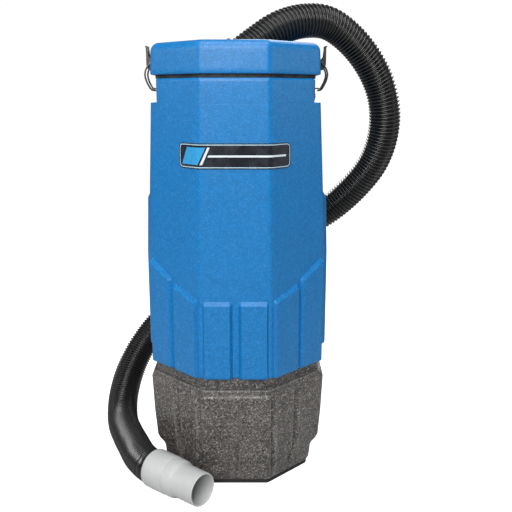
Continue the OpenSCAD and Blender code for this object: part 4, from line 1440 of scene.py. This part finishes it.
# half of a strap's cross-section: share of the half width, share of the thickness
STRAP_EDGE = ((.985, .42), (.95, .5), (.88, .44), (.5, .46))
STRAP_SECTION = (((1.0, 0.0),) + STRAP_EDGE + ((0, .47),) + tuple((-a, b) for a, b in reversed(STRAP_EDGE))
                 + ((-1.0, 0.0),) + tuple((-a, -b) for a, b in STRAP_EDGE) + ((0, -.47),)
                 + tuple((a, -b) for a, b in reversed(STRAP_EDGE)))


def band(name, points, across, width, thick, radius=.003):
    """Woven strap along a path: flat middle, thicker woven edges, square cut ends."""
    path = rounded_path(points, radius)
    across = Vector(across).normalized()
    rings = []
    for i, p in enumerate(path):
        t = (path[min(i + 1, len(path) - 1)] - path[max(i - 1, 0)]).normalized()
        nrm = across.cross(t).normalized()
        rings.append([p + across * (a * width / 2) + nrm * (b * thick) for a, b in STRAP_SECTION])
    return outward(loft(name, rings, smooth=40))


def box_stitch(body, x0, x1, z0, z1, y):
    """A sewn rectangle with its two diagonals."""
    def line(a, b):
        k = max(2, int(math.dist(a, b) / .003))
        return [(a[0] + (b[0] - a[0]) * i / k, y, a[1] + (b[1] - a[1]) * i / k) for i in range(k + 1)]
    c = ((x0, z0), (x1, z0), (x1, z1), (x0, z1))
    for a, b in ((0, 1), (1, 2), (2, 3), (3, 0), (0, 2), (1, 3)):
        sew(body, line(c[a], c[b]))


class VAC_OT_webbing(bpy.types.Operator):
    """Woven straps of the harness and of the belt, with their box stitches."""
    bl_idname = "vac.webbing"
    bl_label = "Webbing"

    def execute(self, context):
        # name, node that it stands for, body, path, direction across, width, thickness, corner radius
        right, up = (1, 0, 0), (0, 0, 1)
        straps = []
        for x, side in ((.046, "right"), (-.046, "left")):
            straps += [("top_strap_" + side, "strap_webbing", "tank",
                        [(x, .1111, .468), (x, .1111, .4514), (x, .1330, .4514), (x, .1330, .4400)],
                        right, .038, .0019, .0022),
                       ("tail_strap_" + side, "strap_webbing", "tank",
                        [(x, .1104, .2042), (x, .1298, .2042), (x, .1298, .2434)], right, .024, .0015, .0020),
                       ("lower_strap_" + side, "strap_webbing", "tank",
                        [(x, .1318, .2657), (x, .1320, .2770)], right, .024, .0015, .003)]
            box_stitch("tank", x - .016, x + .016, .4555, .4655, .1122)
        straps += [("belt_strap_left", "belt_web_left", "tank",
                    [(-.096, .1240, .181), (-.021, .1240, .181)], up, .024, .0019, .003),
                   ("belt_strap_right", "belt_web_right", "plug",
                    [(.0442, .1242, .181), (.096, .1242, .181)], up, .024, .0019, .003)]
        for name, node, body, path, across, width, thick, radius in straps:
            ob = band(name, path, across, width, thick, radius)
            finish_with(ob, "web", body)
            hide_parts(node)
        box_stitch("tank", -.093, -.076, .171, .191, .1252)
        box_stitch("plug", .076, .093, .171, .191, .1254)
        return {"FINISHED"}


class VAC_OT_stitches(bpy.types.Operator):
    """Every stitch of the harness, made by one Geometry Nodes tree along the sewing lines."""
    bl_idname = "vac.stitches"
    bl_label = "Stitches"

    def execute(self, context):
        tree = stitch_tree()
        for body, lines in SEWING.items():
            ob = run_tree("stitches_" + body, lines, tree, Spacing=soft().stitch, Material=mat("thread"),
                          Seed=3)
            ob.data.shade_smooth()
            finish_with(ob, "thread", body)
        return {"FINISHED"}


class VAC_OT_bag(bpy.types.Operator):
    """Cloth filter bag inside the tank: slack vertical folds under a firm rim."""
    bl_idname = "vac.bag"
    bl_label = "Filter bag"

    def execute(self, context):
        lo, hi = .217, .500                # bottom and rim of the bag
        top = inset(inset(tank_at(tank().body_top), RIM_WALL), 8 * MM)

        def folds(z, t):
            slack = smoothstep(hi - z, 0, .04) * smoothstep(z - lo, 0, .03)
            out = []
            for x, y, q in section(inset(top, t), z):
                a = math.atan2(y, x)
                w = math.sin(a * 17 + 1.3 * math.sin(z * 21)) + .5 * math.sin(a * 31 + z * 34)
                k = 1 - slack * (.030 + .018 * w)
                out.append((x * k, y * k, q))
            return out

        n, sole = 40, .006                 # rings up the wall, height of the rounded bottom
        outer = [section(inset(top, .012), lo), section(inset(top, .004), lo + .0008),
                 section(inset(top, .0015), lo + .004)]
        outer += [folds(lo + sole + (hi - lo - sole) * i / n, 0.0003) for i in range(n + 1)]
        inner = [folds(hi - (hi - lo - sole) * i / n, .0016) for i in range(n + 1)]
        inner += [section(inset(top, .0045), lo + .003), section(inset(top, .012), lo + .002)]
        ob = loft("cloth_filter_bag", outer + inner, smooth=40)
        finish_with(ob, "bag", "tank")
        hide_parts("filter_bag")
        return {"FINISHED"}


class VAC_OT_hard_parts(bpy.types.Operator):
    """Finishes of the parts that keep the shape of the model: metal, plastic, motor and filter parts."""
    bl_idname = "vac.hard_parts"
    bl_label = "Metal, plastic and motor parts"

    def execute(self, context):
        # finish -> {node: width of its eased edge, or None for edges left as they are}
        plan = {
            "black": {"switch_bezel": .0006, "cord_gland": None, "exhaust_grille": .0004,
                      "hose_collar": .0005, "ladder_locks": .0005, "buckle_socket": .0012,
                      "buckle_plug": .0008, "back_plate": .0009, "fan_housing": None,
                      "motor_end_bracket": None, "bag_rim": None},
            "rubber": {"lid_seal": None, "motor_gasket": None, "floor_seal": None, "motor_cushion": None,
                       "hose_insert": None},
            "red": {"switch_rocker": .0006},
            "latch": {"latch_plate_right": .0004, "latch_plate_left": .0004, "lever_right": .0004,
                      "lever_left": .0004, "keeper_right": .0003, "keeper_left": .0003},
            "wire": {"bail_right": None, "bail_left": None},
            "steel": {"motor_plate": None, "grille_screws": None, "keeper_rivets": None,
                      "motor_top_bracket": None, "bearing_top": None, "bearing_bottom": None},
            "iron": {"motor_field": None},
            "copper": {"motor_rotor": None},
            "carbon": {"carbon_brushes": None},
            "foam": {"dome_filter": None},
            "medium": {"exhaust_filter": None},
        }
        for name, nodes in plan.items():
            for node, edge in nodes.items():
                dress(node, name, edge)
        return {"FINISHED"}


# ---------------------------------------------------------------- stage
class VAC_OT_stage(bpy.types.Operator):
    """Camera, soft lights, pale surroundings and a white floor."""
    bl_idname = "vac.stage"
    bl_label = "Stage"

    def execute(self, context):
        scene = context.scene
        cam = bpy.data.cameras.new("camera")
        cam.lens, cam.sensor_width = 50, 36
        cam_ob = bpy.data.objects.new("camera", cam)
        cam_ob.location = (.0254, -.953, .508)
        cam_ob.rotation_euler = (math.radians(90 - 12.87), 0, 0)
        scene.collection.objects.link(cam_ob)
        scene.camera = cam_ob
        world = bpy.data.worlds.new("pale surroundings")
        world.use_nodes = True
        w = Nodes(world.node_tree)
        seen = w.add("ShaderNodeLightPath").outputs["Is Camera Ray"]
        back = world.node_tree.nodes["Background"]
        back.inputs[0].default_value = (1.0, 1.0, 1.0, 1.0)
        ambient, shown = .16, .86          # light on the model, and what the camera sees above it
        w.link(w.math("ADD", w.math("MULTIPLY", seen, shown), ambient), back.inputs[1])
        scene.world = world
        scene.view_settings.view_transform = "Standard"
        white = (1.0, 1.0, 1.0)
        for name, place, size, power, tint in (("key", (-.30, -1.75, 1.25), 1.1, 34.0, (1.0, .99, .98)),
                                               ("left", (-1.6, -.3, .9), .9, 5.0, white),
                                               ("right", (1.6, -.2, .8), .9, 3.5, white),
                                               ("top", (0, -.45, 1.75), 1.1, 13.0, white),
                                               ("back", (.5, 1.6, 1.3), 1.2, 20.0, white)):
            la = bpy.data.lights.new(name, "AREA")
            la.shape, la.size, la.energy, la.color = "DISK", size, power, tint
            ob = bpy.data.objects.new(name, la)
            ob.location = place
            ob.rotation_euler = (Vector((0, 0, .28)) - Vector(place)).to_track_quat("-Z", "Y").to_euler()
            scene.collection.objects.link(ob)
        me = bpy.data.meshes.new("floor")
        me.from_pydata([(-9, -9, 0), (9, -9, 0), (9, 9, 0), (-9, 9, 0)], [], [(0, 1, 2, 3)])
        floor = bpy.data.objects.new("floor", me)
        scene.collection.objects.link(floor)
        me.materials.append(mat("floor"))
        return {"FINISHED"}


STEPS = (VAC_OT_stage, VAC_OT_cuff, VAC_OT_hose, VAC_OT_tank, VAC_OT_lid, VAC_OT_base, VAC_OT_foot,
         VAC_OT_label, VAC_OT_bag, VAC_OT_pads, VAC_OT_webbing, VAC_OT_stitches, VAC_OT_hard_parts)


class VAC_PT_panel(bpy.types.Panel):
    """The steps and sizes, in the sidebar."""
    bl_idname = "VAC_PT_panel"
    bl_label = "Backpack vacuum cleaner"
    bl_space_type = "VIEW_3D"
    bl_region_type = "UI"
    bl_category = "Vacuum"

    def draw(self, context):
        for step in STEPS:
            self.layout.operator(step.bl_idname)
        for group in (tank(), hose(), soft(), colours()):
            box = self.layout.box()
            for key in group.__annotations__:
                box.prop(group, key)


GROUPS = (("vac_tank", VacTankProps), ("vac_hose", VacHoseProps), ("vac_soft", VacSoftProps),
          ("vac_colour", VacColourProps))


def register():
    for key, cls in GROUPS:
        bpy.utils.register_class(cls)
        setattr(bpy.types.Scene, key, bpy.props.PointerProperty(type=cls))
    for cls in STEPS + (VAC_PT_panel,):
        bpy.utils.register_class(cls)


def unregister():
    for cls in reversed(STEPS + (VAC_PT_panel,)):
        bpy.utils.unregister_class(cls)
    for key, cls in reversed(GROUPS):
        delattr(bpy.types.Scene, key)
        bpy.utils.unregister_class(cls)


def main():
    """Makes every piece in order."""
    register()
    for step in STEPS:
        group, name = step.bl_idname.split(".")
        getattr(getattr(bpy.ops, group), name)()


if __name__ == "__main__":
    main()
